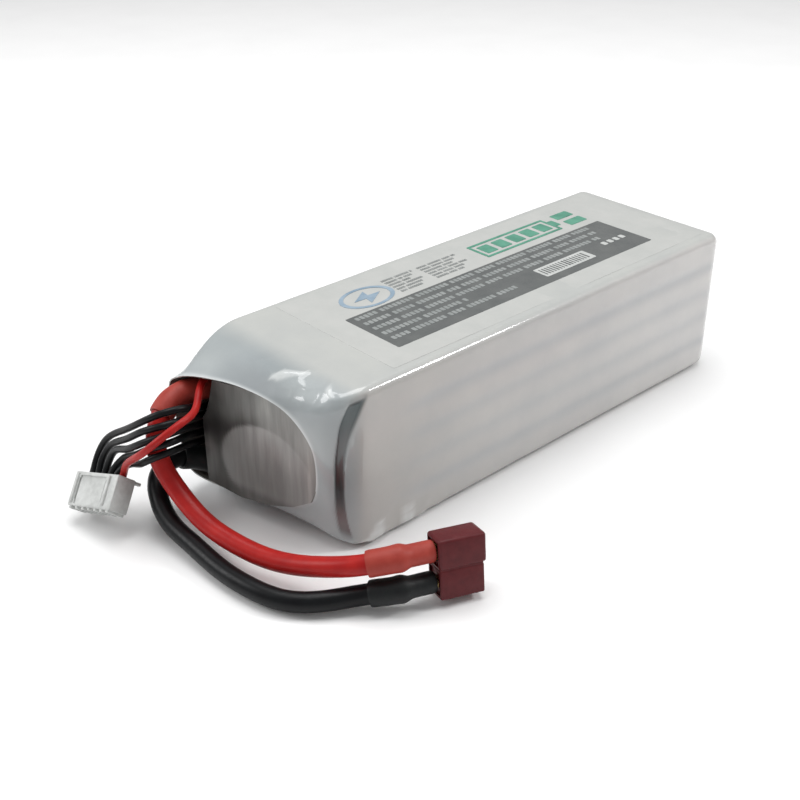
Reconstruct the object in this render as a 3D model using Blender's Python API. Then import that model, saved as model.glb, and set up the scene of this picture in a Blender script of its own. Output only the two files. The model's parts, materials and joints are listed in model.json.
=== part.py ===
"""LiPo battery pack for radio-controlled models: five pouch cells in series, in one shrink wrap.

Metres, +Z up. The origin is the middle of the pack's underside. The pack lies along Y, and its
leads leave the front end, at -Y.
"""

import math

import bmesh
import bpy
import numpy as np
from mathutils import Matrix, Vector

MM = 0.001

# Driving dimensions
PACK_WIDTH = 52.0 * MM
PACK_HEIGHT = 43.0 * MM
PACK_LENGTH = 160.5 * MM
CELL_COUNT = 5
FILM = 0.4 * MM
GAP = 0.3 * MM
LEAD_DIAMETER = 4.9 * MM
BALANCE_DIAMETER = 1.8 * MM

# Places along the pack
REAR = PACK_LENGTH / 2
CELL_FRONT = -61.5 * MM
CELL_REAR = 75.5 * MM
TAB_BOARD_BACK = -65.8 * MM
TAB_BOARD_FRONT = -66.6 * MM
SHOULDER_START = -58.0 * MM
SHOULDER_EDGE = -67.5 * MM

# The stack of cells and cards, from the floor up
CARD = 0.6 * MM
LABEL = 0.3 * MM
PAD = 0.5 * MM
STACK_BOTTOM = FILM + GAP + CARD + GAP
STACK_TOP = PACK_HEIGHT - FILM - GAP - LABEL - GAP - CARD - GAP
PAD_SPACE = PAD + 2 * GAP
CELL_THICKNESS = (STACK_TOP - STACK_BOTTOM - (CELL_COUNT - 1) * PAD_SPACE) / CELL_COUNT
CELL_HALF_WIDTH = 24.8 * MM
CELL_EDGE = 2.4 * MM
PAD_HALF_WIDTH = 22.0 * MM
PAD_FRONT = -56.0 * MM
PAD_REAR = 70.0 * MM
CARD_HALF_WIDTH = 23.5 * MM
CARD_FRONT = -58.0 * MM
CARD_REAR = 73.0 * MM
LABEL_FRONT = -48.0 * MM
REAR_PAD_HALF_WIDTH = 21.0 * MM
REAR_PAD_BOTTOM = 5.0 * MM
REAR_PAD_TOP = 38.0 * MM
REAR_PAD_EDGE = 1.0 * MM

# The cells' tabs and the board that joins them
TAB_OFFSET = 10.0 * MM
TAB_HALF_WIDTH = 4.5 * MM
TAB_THICKNESS = 0.3 * MM
TAB_FOLD = 2.4 * MM
TAB_BOARD_LEFT = -24.0 * MM
TAB_BOARD_RIGHT = 19.0 * MM
TAB_BOARD_BOTTOM = 5.0 * MM
TAB_BOARD_TOP = 37.5 * MM

# The wrap's cross-section and its two open ends
WRAP_CORNER = 2.6 * MM
WRAP_CORNER_STEPS = 4
WRAP_SIDE_STEPS = 9
WRAP_CENTRE = (-4.0 * MM, 20.0 * MM)
SHOULDER_RINGS = 8
REAR_RINGS = 6
REAR_CURVE = 6.0 * MM
REAR_LIP_INSET = 9.0 * MM
STRAIGHT_RINGS = (-20.0 * MM, 20.0 * MM, REAR - REAR_CURVE)

# The front opening's edge: its outline as (x, z) in millimetres, counter-clockwise seen from -Y,
# in a plane that slants back towards +X and towards the floor
FRONT_LIP_OUTLINE = [
    (18.0, 24.0), (16.0, 31.0), (10.0, 36.5), (-1.0, 38.5), (-12.0, 37.5), (-21.0, 35.0),
    (-25.5, 31.0), (-25.5, 20.0), (-25.5, 9.0), (-22.5, 4.5), (-12.0, 4.0), (-1.5, 4.5),
    (9.0, 8.0), (16.0, 13.0),
]
LIP_MIDDLE_Y = -73.5 * MM
LIP_SIDE_SLOPE = 0.23
LIP_RISE_SLOPE = -0.1

# The cover behind that opening: its outline as (x, z) in millimetres, on the same sideways slant
COVER_OUTLINE = [
    (-17.0, 6.0), (4.0, 7.5), (10.0, 9.5), (14.5, 14.0), (16.5, 20.0), (16.5, 27.0),
    (14.5, 31.5), (10.5, 34.5), (5.0, 35.5), (-12.5, 35.0), (-14.0, 30.5), (-15.5, 26.5),
    (-17.0, 24.0),
]
COVER_THICKNESS = 0.8 * MM
COVER_RIGHT = 18.6 * MM
COVER_BACK_AT_RIGHT = -67.2 * MM

# Cord routes, in millimetres, from the tab board outwards
RED_LEAD_ROUTE = [
    (-20.5, -67.0, 29.5), (-20.5, -73.0, 30.0), (-20.5, -78.5, 30.5), (-20.0, -83.5, 29.5),
    (-18.5, -87.5, 26.5), (-16.5, -90.0, 21.5), (-13.5, -90.0, 16.0), (-8.0, -89.5, 11.5),
    (0.5, -89.0, 8.0), (11.0, -87.5, 6.5), (20.0, -85.0, 6.0), (28.0, -82.0, 7.0),
    (35.0, -79.0, 9.0), (41.0, -75.5, 11.0),
]
BLACK_LEAD_ROUTE = [
    (-9.0, -70.0, 6.5), (-13.5, -70.5, 7.0), (-17.5, -71.5, 8.0), (-20.5, -74.5, 9.5),
    (-22.0, -79.0, 11.5), (-22.0, -84.0, 12.0), (-20.0, -88.5, 10.5), (-15.5, -91.5, 8.0),
    (-9.0, -93.0, 5.0), (0.0, -93.0, 3.5), (11.5, -93.0, 2.6), (22.0, -92.0, 2.6),
    (31.0, -89.0, 2.6), (37.5, -83.0, 3.0), (42.0, -76.0, 3.5),
]
BALANCE_ROUTES = [
    [(-21.5, -67.0, 25.0), (-20.5, -72.0, 24.5), (-13.0, -82.5, 31.0), (-14.0, -89.0, 31.5),
     (-18.5, -92.0, 28.5), (-26.5, -93.0, 23.0), (-33.5, -94.5, 17.5), (-35.0, -97.0, 12.0)],
    [(-21.5, -67.0, 22.5), (-21.5, -72.0, 22.0), (-12.5, -83.5, 28.5), (-12.0, -90.0, 29.5),
     (-16.0, -93.0, 27.5), (-24.0, -94.0, 22.0), (-31.0, -95.0, 17.0), (-32.5, -97.0, 12.5)],
    [(-21.5, -67.0, 20.0), (-21.5, -72.0, 19.5), (-12.0, -85.0, 26.5), (-11.0, -91.5, 27.5),
     (-14.5, -94.5, 25.5), (-21.5, -95.5, 21.0), (-28.5, -95.5, 16.5)],
    [(-21.5, -67.0, 17.5), (-21.5, -72.0, 17.0), (-14.0, -83.0, 23.0), (-11.0, -89.5, 25.0),
     (-14.0, -93.0, 23.5), (-20.0, -94.0, 19.5), (-26.0, -94.5, 15.5)],
    [(-21.5, -67.0, 15.0), (-21.5, -72.0, 14.5), (-14.5, -83.0, 20.0), (-11.0, -89.5, 22.5),
     (-13.5, -93.5, 21.0), (-18.5, -94.0, 17.5), (-23.5, -94.5, 15.0)],
    [(-17.5, -67.0, 34.5), (-17.5, -73.0, 34.5), (-13.5, -78.5, 33.5), (-9.0, -83.0, 32.0),
     (-7.0, -88.5, 31.5), (-8.0, -93.5, 29.0), (-12.0, -96.5, 24.5),
     (-17.5, -97.0, 20.0), (-21.0, -96.5, 16.5)],
]

# The power plug: length from its wires to its mating face, thickness, and height as it stands
PLUG_LENGTH = 11.6 * MM
PLUG_THICKNESS = 7.2 * MM
PLUG_HEIGHT = 14.6 * MM
PLUG_CORNER = Vector((54.8, -63.4, 2.2)) * MM
PLUG_TURN = (-12.2, 2.3, 69.7)
PLUG_STEP = 0.6 * MM
PLUG_SEAM = 0.3 * MM
CONTACT_TAIL = 3.0 * MM
CONTACT_THICKNESS = 1.1 * MM
CONTACT_WIDTH = 4.7 * MM
CONTACT_RECESS = 2.0 * MM
CONTACT_EDGE = 0.2 * MM
CUTTER_OVERRUN = 1.0 * MM
LEAD_STRAIGHT = 9.0 * MM
CONTACT_HEIGHTS = {"positive": 11.1 * MM, "negative": 3.5 * MM}

# The balance connector: width, thickness, and height from its mating end to its wires
BALANCE_WAYS = 6
HOUSING_WIDTH = 16.8 * MM
HOUSING_THICKNESS = 5.6 * MM
HOUSING_HEIGHT = 9.5 * MM
HOUSING_CORNER = Vector((-33.0, -107.8, 3.9)) * MM
HOUSING_TURN = (-43.2, -17.4, 11.6)
HOUSING_PITCH = 2.42 * MM
HOUSING_ROW = 3.1 * MM
CAVITY_WIDTH = 1.7 * MM
CAVITY_DEPTH = 2.4 * MM
TERMINAL_RECESS = 1.2 * MM

# The housing's body starts above its teeth; ribs run down its front and ears stand off its back
TOOTH_HEIGHT = 1.0 * MM
TOOTH_HALF_WIDTH = 0.35 * MM
TOOTH_INSET = 0.3 * MM
BODY_BOTTOM = 0.6 * MM
RIB_DEPTH = 0.5 * MM
RIB_WIDTH = 0.8 * MM
RIB_BOTTOM = 1.4 * MM
RIB_TOP = HOUSING_HEIGHT - 1.0 * MM
RIB_LEFTS = (0.6 * MM, HOUSING_WIDTH - 3.4 * MM)
EAR_REACH = 2.0 * MM
EAR_WIDTH = 1.2 * MM
EAR_ROOT = 1.0 * MM
EAR_BOTTOM = HOUSING_HEIGHT - 1.0 * MM
EAR_TOP = HOUSING_HEIGHT - 0.1 * MM
EAR_LEFTS = (0.3 * MM, HOUSING_WIDTH - 1.5 * MM)
BALANCE_CLEARANCE = 0.5 * MM

# How closely the cords' paths are sampled
LEAD_SPACING = 4.0 * MM
WIRE_SPACING = 2.0 * MM

# Heat-shrink sleeves on the main leads, by the steps of the lead's path that they cover
PACK_SLEEVE_STEPS = slice(1, 6)
PLUG_SLEEVE_STEPS = slice(-4, None)
SLEEVE_INNER = LEAD_DIAMETER / 2 + GAP
SLEEVE_OUTER = 3.15 * MM


def clear_scene():
    for item in list(bpy.data.objects):
        bpy.data.objects.remove(item, do_unlink=True)


def make_material(name, colour, roughness, metallic=0.0):
    material = bpy.data.materials.new(name)
    material.use_nodes = True
    shader = material.node_tree.nodes["Principled BSDF"]
    shader.inputs["Base Color"].default_value = (*colour, 1.0)
    shader.inputs["Roughness"].default_value = roughness
    shader.inputs["Metallic"].default_value = metallic
    return material


def add_object(name, mesh, material):
    item = bpy.data.objects.new(name, mesh)
    mesh.materials.append(material)
    bpy.context.collection.objects.link(item)
    return item


def object_from_bmesh(name, shape, material, smooth_angle=None):
    bmesh.ops.recalc_face_normals(shape, faces=shape.faces[:])
    mesh = bpy.data.meshes.new(name)
    shape.to_mesh(mesh)
    shape.free()
    if smooth_angle is not None:
        mesh.shade_smooth()
        mesh.set_sharp_from_angle(angle=smooth_angle)
    return add_object(name, mesh, material)


def box_bmesh(low, high):
    shape = bmesh.new()
    bmesh.ops.create_cube(shape, size=1.0)
    for vertex in shape.verts:
        for axis in range(3):
            side = vertex.co[axis] + 0.5
            vertex.co[axis] = low[axis] + side * (high[axis] - low[axis])
    return shape


def make_box(name, low, high, material, bevel=0.0, segments=2):
    """A box between two corners, with all its edges rounded by a bevel."""
    shape = box_bmesh(low, high)
    if bevel > 0.0:
        bmesh.ops.bevel(shape, geom=shape.edges[:], offset=bevel, segments=segments,
                        profile=0.5, affect="EDGES", clamp_overlap=True)
    return object_from_bmesh(name, shape, material, math.radians(40))


def make_prism(name, outline, axis_low, axis_high, place, material):
    """A prism: a flat outline of (a, b) points, run from axis_low to axis_high by place(a, b, c)."""
    shape = bmesh.new()
    low = [shape.verts.new(place(a, b, axis_low)) for a, b in outline]
    high = [shape.verts.new(place(a, b, axis_high)) for a, b in outline]
    shape.faces.new(low)
    shape.faces.new(high)
    count = len(outline)
    for index in range(count):
        following = (index + 1) % count
        shape.faces.new([low[index], low[following], high[following], high[index]])
    return object_from_bmesh(name, shape, material)


def rounded_rectangle(left, bottom, right, top, radius, corner_steps, side_steps=1):
    """Points round a rectangle with rounded corners, counter-clockwise from its lower right."""
    corners = [(right - radius, bottom + radius, -90), (right - radius, top - radius, 0),
               (left + radius, top - radius, 90), (left + radius, bottom + radius, 180)]
    points = []
    for index, (cx, cz, start) in enumerate(corners):
        arc = []
        for step in range(corner_steps + 1):
            angle = math.radians(start + 90 * step / corner_steps)
            arc.append((cx + radius * math.cos(angle), cz + radius * math.sin(angle)))
        points += arc
        nx, nz, next_start = corners[(index + 1) % 4]
        angle = math.radians(next_start)
        goal = (nx + radius * math.cos(angle), nz + radius * math.sin(angle))
        for step in range(1, side_steps):
            share = step / side_steps
            points.append((arc[-1][0] + share * (goal[0] - arc[-1][0]),
                           arc[-1][1] + share * (goal[1] - arc[-1][1])))
    return points


def smooth_route(route, spacing):
    """Points at an even spacing along a natural cubic spline through a route in metres."""
    knots = np.array([tuple(point) for point in route])
    chords = np.linalg.norm(np.diff(knots, axis=0), axis=1) ** 0.7
    times = np.concatenate([[0.0], np.cumsum(chords)])
    count = len(knots)
    steps = np.diff(times)
    matrix = np.eye(count)
    slopes = np.zeros((count, 3))
    for row in range(1, count - 1):
        before, after = steps[row - 1], steps[row]
        matrix[row, row - 1:row + 2] = (before, 2 * (before + after), after)
        rise = (knots[row + 1] - knots[row]) / after - (knots[row] - knots[row - 1]) / before
        slopes[row] = 6 * rise
    bends = np.linalg.solve(matrix, slopes)
    fine = []
    for index in range(count - 1):
        step = steps[index]
        for share in np.linspace(0.0, 1.0, 40, endpoint=False):
            rest = 1.0 - share
            curve = bends[index] * (rest ** 3 - rest) + bends[index + 1] * (share ** 3 - share)
            fine.append(rest * knots[index] + share * knots[index + 1] + curve * step ** 2 / 6)
    fine.append(knots[-1])
    fine = np.array(fine)
    lengths = np.concatenate([[0.0], np.cumsum(np.linalg.norm(np.diff(fine, axis=0), axis=1))])
    amount = max(2, round(lengths[-1] / spacing))
    wanted = np.linspace(0.0, lengths[-1], amount + 1)
    return [Vector([np.interp(w, lengths, fine[:, axis]) for axis in range(3)]) for w in wanted]


def in_metres(route):
    return [Vector(point) * MM for point in route]


def make_tube(name, points, diameter, resolution, material):
    """A cord's plain solid: a round bevel along a poly line, with closed ends."""
    curve = bpy.data.curves.new(name, "CURVE")
    curve.dimensions = "3D"
    curve.bevel_depth = diameter / 2
    curve.bevel_resolution = resolution
    curve.use_fill_caps = True
    spline = curve.splines.new("POLY")
    spline.points.add(len(points) - 1)
    for point, place in zip(spline.points, points):
        point.co = (*place, 1.0)
    return add_object(name, curve, material)


def frames_along(points):
    """A pair of axes across the path at each point, turned as little as possible."""
    frames = []
    side = Vector((1.0, 0.0, 0.0))
    for index in range(len(points)):
        ahead = points[min(index + 1, len(points) - 1)]
        behind = points[max(index - 1, 0)]
        along = (ahead - behind).normalized()
        side = (side - along * side.dot(along)).normalized()
        frames.append((side.copy(), along.cross(side)))
    return frames


def make_sleeve(name, points, inner, outer, material, sides=16):
    """A hollow sleeve along a path, open at both ends."""
    frames = frames_along(points)
    shape = bmesh.new()
    walls = []
    for radius in (outer, inner):
        rings = []
        for place, (side, up) in zip(points, frames):
            ring = []
            for step in range(sides):
                angle = 2 * math.pi * step / sides
                offset = side * math.cos(angle) + up * math.sin(angle)
                ring.append(shape.verts.new(place + offset * radius))
            rings.append(ring)
        walls.append(rings)
    skin_walls(shape, walls[0], walls[1])
    return object_from_bmesh(name, shape, material, math.radians(40))


def skin_walls(shape, outer_rings, inner_rings):
    """Quads over an outer and an inner wall of rings, joined at both open ends."""
    sides = len(outer_rings[0])
    for rings in (outer_rings, inner_rings):
        for near, far in zip(rings, rings[1:]):
            for step in range(sides):
                following = (step + 1) % sides
                shape.faces.new([near[step], near[following], far[following], far[step]])
    for outer, inner in ((outer_rings[0], inner_rings[0]), (outer_rings[-1], inner_rings[-1])):
        for step in range(sides):
            following = (step + 1) % sides
            shape.faces.new([outer[step], outer[following], inner[following], inner[step]])


def closed_curve(points, steps=24):
    """Points round a closed Catmull-Rom curve."""
    count = len(points)
    result = []
    for index in range(count):
        before, start, end, after = (Vector(points[(index + shift) % count])
                                     for shift in (-1, 0, 1, 2))
        for step in range(steps):
            t = step / steps
            result.append(0.5 * (2 * start + (end - before) * t
                                 + (2 * before - 5 * start + 4 * end - after) * t ** 2
                                 + (3 * start - before - 3 * end + after) * t ** 3))
    return result


def lip_point(x, z):
    """A point of the front opening's slanted plane."""
    across = x - WRAP_CENTRE[0]
    upward = z - WRAP_CENTRE[1]
    return Vector((x, LIP_MIDDLE_Y + LIP_SIDE_SLOPE * across + LIP_RISE_SLOPE * upward, z))


def front_lip(section):
    """The front opening's edge, with one point for each point of the wrap's section."""
    edge = closed_curve([lip_point(x * MM, z * MM) for x, z in FRONT_LIP_OUTLINE])
    angles = [math.atan2(p.z - WRAP_CENTRE[1], p.x - WRAP_CENTRE[0]) for p in edge]
    order = np.argsort(angles)
    known = np.array(angles)[order]
    table = np.array([tuple(edge[index]) for index in order])
    lip = []
    for x, z in section:
        angle = math.atan2(z - WRAP_CENTRE[1], x - WRAP_CENTRE[0])
        lip.append(Vector([np.interp(angle, known, table[:, axis], period=2 * math.pi)
                           for axis in range(3)]))
    return lip


def wrap_rings():
    """The wrap's outer surface as rings from the front lip to the rear lip."""
    half = PACK_WIDTH / 2
    section = rounded_rectangle(-half, 0.0, half, PACK_HEIGHT, WRAP_CORNER, WRAP_CORNER_STEPS,
                                WRAP_SIDE_STEPS)
    lip = front_lip(section)
    rings = []
    for step in range(SHOULDER_RINGS + 1):
        t = 1.0 - step / SHOULDER_RINGS
        ring = []
        for (x, z), end in zip(section, lip):
            start = Vector((x, SHOULDER_START, z))
            edge = Vector((x, SHOULDER_EDGE, z))
            ring.append((1 - t) ** 2 * start + 2 * t * (1 - t) * edge + t ** 2 * end)
        rings.append(ring)
    for y in STRAIGHT_RINGS:
        rings.append([Vector((x, y, z)) for x, z in section])
    for step in range(1, REAR_RINGS + 1):
        angle = math.pi / 2 * step / REAR_RINGS
        inset = REAR_CURVE * (1 - math.cos(angle))
        y = REAR - REAR_CURVE * (1 - math.sin(angle))
        rings.append(inset_ring(section, inset, y))
    rings.append(inset_ring(section, REAR_LIP_INSET, REAR))
    return rings


def inset_ring(section, inset, y):
    """The section drawn in by a distance on each side, at one place along the pack."""
    middle = PACK_HEIGHT / 2
    across = 1.0 - inset / (PACK_WIDTH / 2)
    upward = 1.0 - inset / middle
    return [Vector((x * across, y, middle + (z - middle) * upward)) for x, z in section]


def ring_normals(rings):
    """Outward directions at each point of a grid of rings."""
    sides = len(rings[0])
    last = len(rings) - 1
    normals = []
    for index, ring in enumerate(rings):
        row = []
        for step in range(sides):
            around = ring[(step + 1) % sides] - ring[step - 1]
            along = rings[min(index + 1, last)][step] - rings[max(index - 1, 0)][step]
            row.append(along.cross(around).normalized())
        normals.append(row)
    return normals


def make_shrink_wrap(material):
    rings = wrap_rings()
    normals = ring_normals(rings)
    shape = bmesh.new()
    outer = [[shape.verts.new(p) for p in ring] for ring in rings]
    inner = []
    for ring, row in zip(rings, normals):
        inner.append([shape.verts.new(p - n * FILM) for p, n in zip(ring, row)])
    skin_walls(shape, outer, inner)
    return object_from_bmesh("shrink_wrap", shape, material, math.radians(30))


def make_cells(foil, pad_material, aluminium, copper):
    """The stack of pouch cells, with a pad between each pair and two tabs on each front end."""
    for index in range(CELL_COUNT):
        bottom = STACK_BOTTOM + index * (CELL_THICKNESS + PAD_SPACE)
        top = bottom + CELL_THICKNESS
        number = index + 1
        make_box(f"cell_{number}", (-CELL_HALF_WIDTH, CELL_FRONT, bottom),
                 (CELL_HALF_WIDTH, CELL_REAR, top), foil, bevel=CELL_EDGE, segments=4)
        if number < CELL_COUNT:
            make_box(f"cell_pad_{number}", (-PAD_HALF_WIDTH, PAD_FRONT, top + GAP),
                     (PAD_HALF_WIDTH, PAD_REAR, top + GAP + PAD), pad_material)
        positive_side = 1 if index % 2 == 0 else -1
        middle = (bottom + top) / 2
        make_tab(f"positive_tab_{number}", positive_side * TAB_OFFSET, middle, aluminium)
        make_tab(f"negative_tab_{number}", -positive_side * TAB_OFFSET, middle, copper)


def make_tab(name, x, z, material):
    """A flat tab from a cell's front, folded up where it is welded to the tab board."""
    back = CELL_FRONT - GAP
    front = TAB_BOARD_BACK + GAP
    outline = [(back, z), (front, z), (front, z + TAB_FOLD),
               (front + TAB_THICKNESS, z + TAB_FOLD),
               (front + TAB_THICKNESS, z + TAB_THICKNESS), (back, z + TAB_THICKNESS)]
    make_prism(name, outline, x - TAB_HALF_WIDTH, x + TAB_HALF_WIDTH,
               lambda y, height, across: (across, y, height), material)


def make_cards(card, white, foam, board):
    """The cards above and below the cells, the label, the rear pad and the tab board."""
    make_box("bottom_card", (-CARD_HALF_WIDTH, CARD_FRONT, FILM + GAP),
             (CARD_HALF_WIDTH, CARD_REAR, FILM + GAP + CARD), card)
    top = PACK_HEIGHT - FILM - GAP - LABEL - GAP
    make_box("top_card", (-CARD_HALF_WIDTH, CARD_FRONT, top - CARD),
             (CARD_HALF_WIDTH, CARD_REAR, top), card)
    make_box("label_sheet", (-CARD_HALF_WIDTH, LABEL_FRONT, top + GAP),
             (CARD_HALF_WIDTH, CARD_REAR, top + GAP + LABEL), white)
    make_box("rear_pad", (-REAR_PAD_HALF_WIDTH, CELL_REAR + GAP, REAR_PAD_BOTTOM),
             (REAR_PAD_HALF_WIDTH, REAR - FILM - GAP, REAR_PAD_TOP), foam, bevel=REAR_PAD_EDGE)
    make_box("tab_board", (TAB_BOARD_LEFT, TAB_BOARD_FRONT, TAB_BOARD_BOTTOM),
             (TAB_BOARD_RIGHT, TAB_BOARD_BACK, TAB_BOARD_TOP), board)


def make_tab_cover(material):
    """The flat grey cover in the front opening, slanted by the leads that pass behind it."""
    def place(x, z, depth):
        y = COVER_BACK_AT_RIGHT - LIP_SIDE_SLOPE * (COVER_RIGHT - x * MM) - depth
        return (x * MM, y, z * MM)

    make_prism("tab_cover", COVER_OUTLINE, 0.0, COVER_THICKNESS, place, material)


def placement(corner, turn):
    """The matrix that puts a connector's own frame at a corner, turned about X, Y and Z."""
    turned = Matrix.Identity(4)
    for axis, angle in zip("XYZ", turn):
        turned = Matrix.Rotation(math.radians(angle), 4, axis) @ turned
    return Matrix.Translation(corner) @ turned


def cut(item, cutter):
    """Subtract a hidden cutter from an object."""
    cutter.hide_render = True
    cutter.display_type = "WIRE"
    modifier = item.modifiers.new(cutter.name, "BOOLEAN")
    modifier.operation = "DIFFERENCE"
    modifier.solver = "EXACT"
    modifier.object = cutter


def join_boxes(name, boxes, material):
    """One body from boxes that overlap, joined by Boolean unions."""
    base = object_from_bmesh(name, box_bmesh(*boxes[0]), material)
    for index, (low, high) in enumerate(boxes[1:]):
        tool = object_from_bmesh(f"{name}_add_{index}", box_bmesh(low, high), material)
        tool.hide_render = True
        tool.display_type = "WIRE"
        modifier = base.modifiers.new(tool.name, "BOOLEAN")
        modifier.operation = "UNION"
        modifier.solver = "EXACT"
        modifier.object = tool
        tool.parent = base
    return base


def make_plug(nylon, gold):
    """The power plug: a nylon housing in two steps, with a flat contact in each half."""
    place = placement(PLUG_CORNER, PLUG_TURN)
    outline = [(0.0, 0.0), (PLUG_LENGTH - PLUG_STEP, 0.0),
               (PLUG_LENGTH - PLUG_STEP, PLUG_HEIGHT / 2), (PLUG_LENGTH, PLUG_HEIGHT / 2),
               (PLUG_LENGTH, PLUG_HEIGHT), (0.0, PLUG_HEIGHT),
               (0.0, PLUG_HEIGHT / 2 + PLUG_SEAM), (PLUG_SEAM, PLUG_HEIGHT / 2),
               (0.0, PLUG_HEIGHT / 2 - PLUG_SEAM)]
    housing = make_prism("plug_housing", outline, 0.0, PLUG_THICKNESS,
                         lambda x, z, y: (x, y, z), nylon)
    housing.matrix_world = place
    middle = PLUG_THICKNESS / 2
    half_slot = CONTACT_THICKNESS / 2 + GAP
    half_width = CONTACT_WIDTH / 2 + GAP
    spans = {"positive": (half_slot, half_width), "negative": (half_width, half_slot)}
    for polarity, height in CONTACT_HEIGHTS.items():
        across, upward = spans[polarity]
        slot = object_from_bmesh(f"slot_{polarity}", box_bmesh(
            (-CUTTER_OVERRUN, middle - across, height - upward),
            (PLUG_LENGTH + CUTTER_OVERRUN, middle + across, height + upward)), nylon)
        slot.parent = housing
        cut(housing, slot)
        contact = make_box(f"plug_contact_{polarity}",
                           (-CONTACT_TAIL, middle - across + GAP, height - upward + GAP),
                           (PLUG_LENGTH - CONTACT_RECESS, middle + across - GAP,
                            height + upward - GAP), gold, bevel=CONTACT_EDGE, segments=1)
        contact.matrix_world = place


def make_balance_connector(nylon, tin):
    """The six-way balance housing, with its comb of teeth and a terminal in each way."""
    place = placement(HOUSING_CORNER, HOUSING_TURN)
    boxes = [((0.0, 0.0, BODY_BOTTOM), (HOUSING_WIDTH, HOUSING_THICKNESS, HOUSING_HEIGHT))]
    for left in RIB_LEFTS:
        boxes.append(((left, -RIB_DEPTH, RIB_BOTTOM), (left + RIB_WIDTH, RIB_DEPTH, RIB_TOP)))
    for left in EAR_LEFTS:
        boxes.append(((left, HOUSING_THICKNESS - EAR_ROOT, EAR_BOTTOM),
                      (left + EAR_WIDTH, HOUSING_THICKNESS + EAR_REACH, EAR_TOP)))
    for tooth in range(BALANCE_WAYS + 1):
        middle = HOUSING_WIDTH / 2 + (tooth - BALANCE_WAYS / 2) * HOUSING_PITCH
        boxes.append(((middle - TOOTH_HALF_WIDTH, TOOTH_INSET, 0.0),
                      (middle + TOOTH_HALF_WIDTH, HOUSING_THICKNESS - TOOTH_INSET, TOOTH_HEIGHT)))
    housing = join_boxes("balance_housing", boxes, nylon)
    housing.matrix_world = place
    for way in range(BALANCE_WAYS):
        middle = HOUSING_WIDTH / 2 + (way - (BALANCE_WAYS - 1) / 2) * HOUSING_PITCH
        half = CAVITY_WIDTH / 2
        depth = CAVITY_DEPTH / 2
        cavity = object_from_bmesh(f"cavity_{way + 1}", box_bmesh(
            (middle - half, HOUSING_ROW - depth, -CUTTER_OVERRUN),
            (middle + half, HOUSING_ROW + depth, HOUSING_HEIGHT + CUTTER_OVERRUN)), nylon)
        cavity.parent = housing
        cut(housing, cavity)
        terminal = make_box(f"balance_terminal_{way + 1}",
                            (middle - half + GAP, HOUSING_ROW - depth + GAP, TERMINAL_RECESS),
                            (middle + half - GAP, HOUSING_ROW + depth - GAP,
                             HOUSING_HEIGHT - TERMINAL_RECESS), tin)
        terminal.matrix_world = place


def lead_end(polarity):
    """The last points of a main lead, running straight into its plug contact."""
    place = placement(PLUG_CORNER, PLUG_TURN)
    height = CONTACT_HEIGHTS[polarity]
    return [place @ Vector((-back, PLUG_THICKNESS / 2, height))
            for back in (LEAD_STRAIGHT, CONTACT_TAIL + GAP)]


def balance_end(way):
    """The last point of a balance lead, at the top of its way."""
    place = placement(HOUSING_CORNER, HOUSING_TURN)
    x = HOUSING_WIDTH / 2 + (way - (BALANCE_WAYS - 1) / 2) * HOUSING_PITCH
    return place @ Vector((x, HOUSING_ROW, HOUSING_HEIGHT + BALANCE_CLEARANCE))


def make_main_leads(red, black, red_sleeve, black_sleeve):
    """Both main leads, each with a sleeve where it leaves the pack and one at its plug."""
    leads = {
        "red": (RED_LEAD_ROUTE, "positive", red, red_sleeve),
        "black": (BLACK_LEAD_ROUTE, "negative", black, black_sleeve),
    }
    for colour, (route, polarity, rubber, shrink) in leads.items():
        points = smooth_route(in_metres(route) + lead_end(polarity), LEAD_SPACING)
        make_tube(f"{colour}_lead", points, LEAD_DIAMETER, 3, rubber)
        make_sleeve(f"{colour}_pack_sleeve", points[PACK_SLEEVE_STEPS], SLEEVE_INNER,
                    SLEEVE_OUTER, shrink)
        place = placement(PLUG_CORNER, PLUG_TURN)
        plug_face = place @ Vector((-GAP, PLUG_THICKNESS / 2, CONTACT_HEIGHTS[polarity]))
        make_sleeve(f"{colour}_plug_sleeve", points[PLUG_SLEEVE_STEPS] + [plug_face], SLEEVE_INNER,
                    SLEEVE_OUTER, shrink)


def make_balance_leads(red, black):
    for way, route in enumerate(BALANCE_ROUTES):
        points = smooth_route(in_metres(route) + [balance_end(way)], WIRE_SPACING)
        rubber = red if way == BALANCE_WAYS - 1 else black
        make_tube(f"balance_lead_{way + 1}", points, BALANCE_DIAMETER, 2, rubber)


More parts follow.
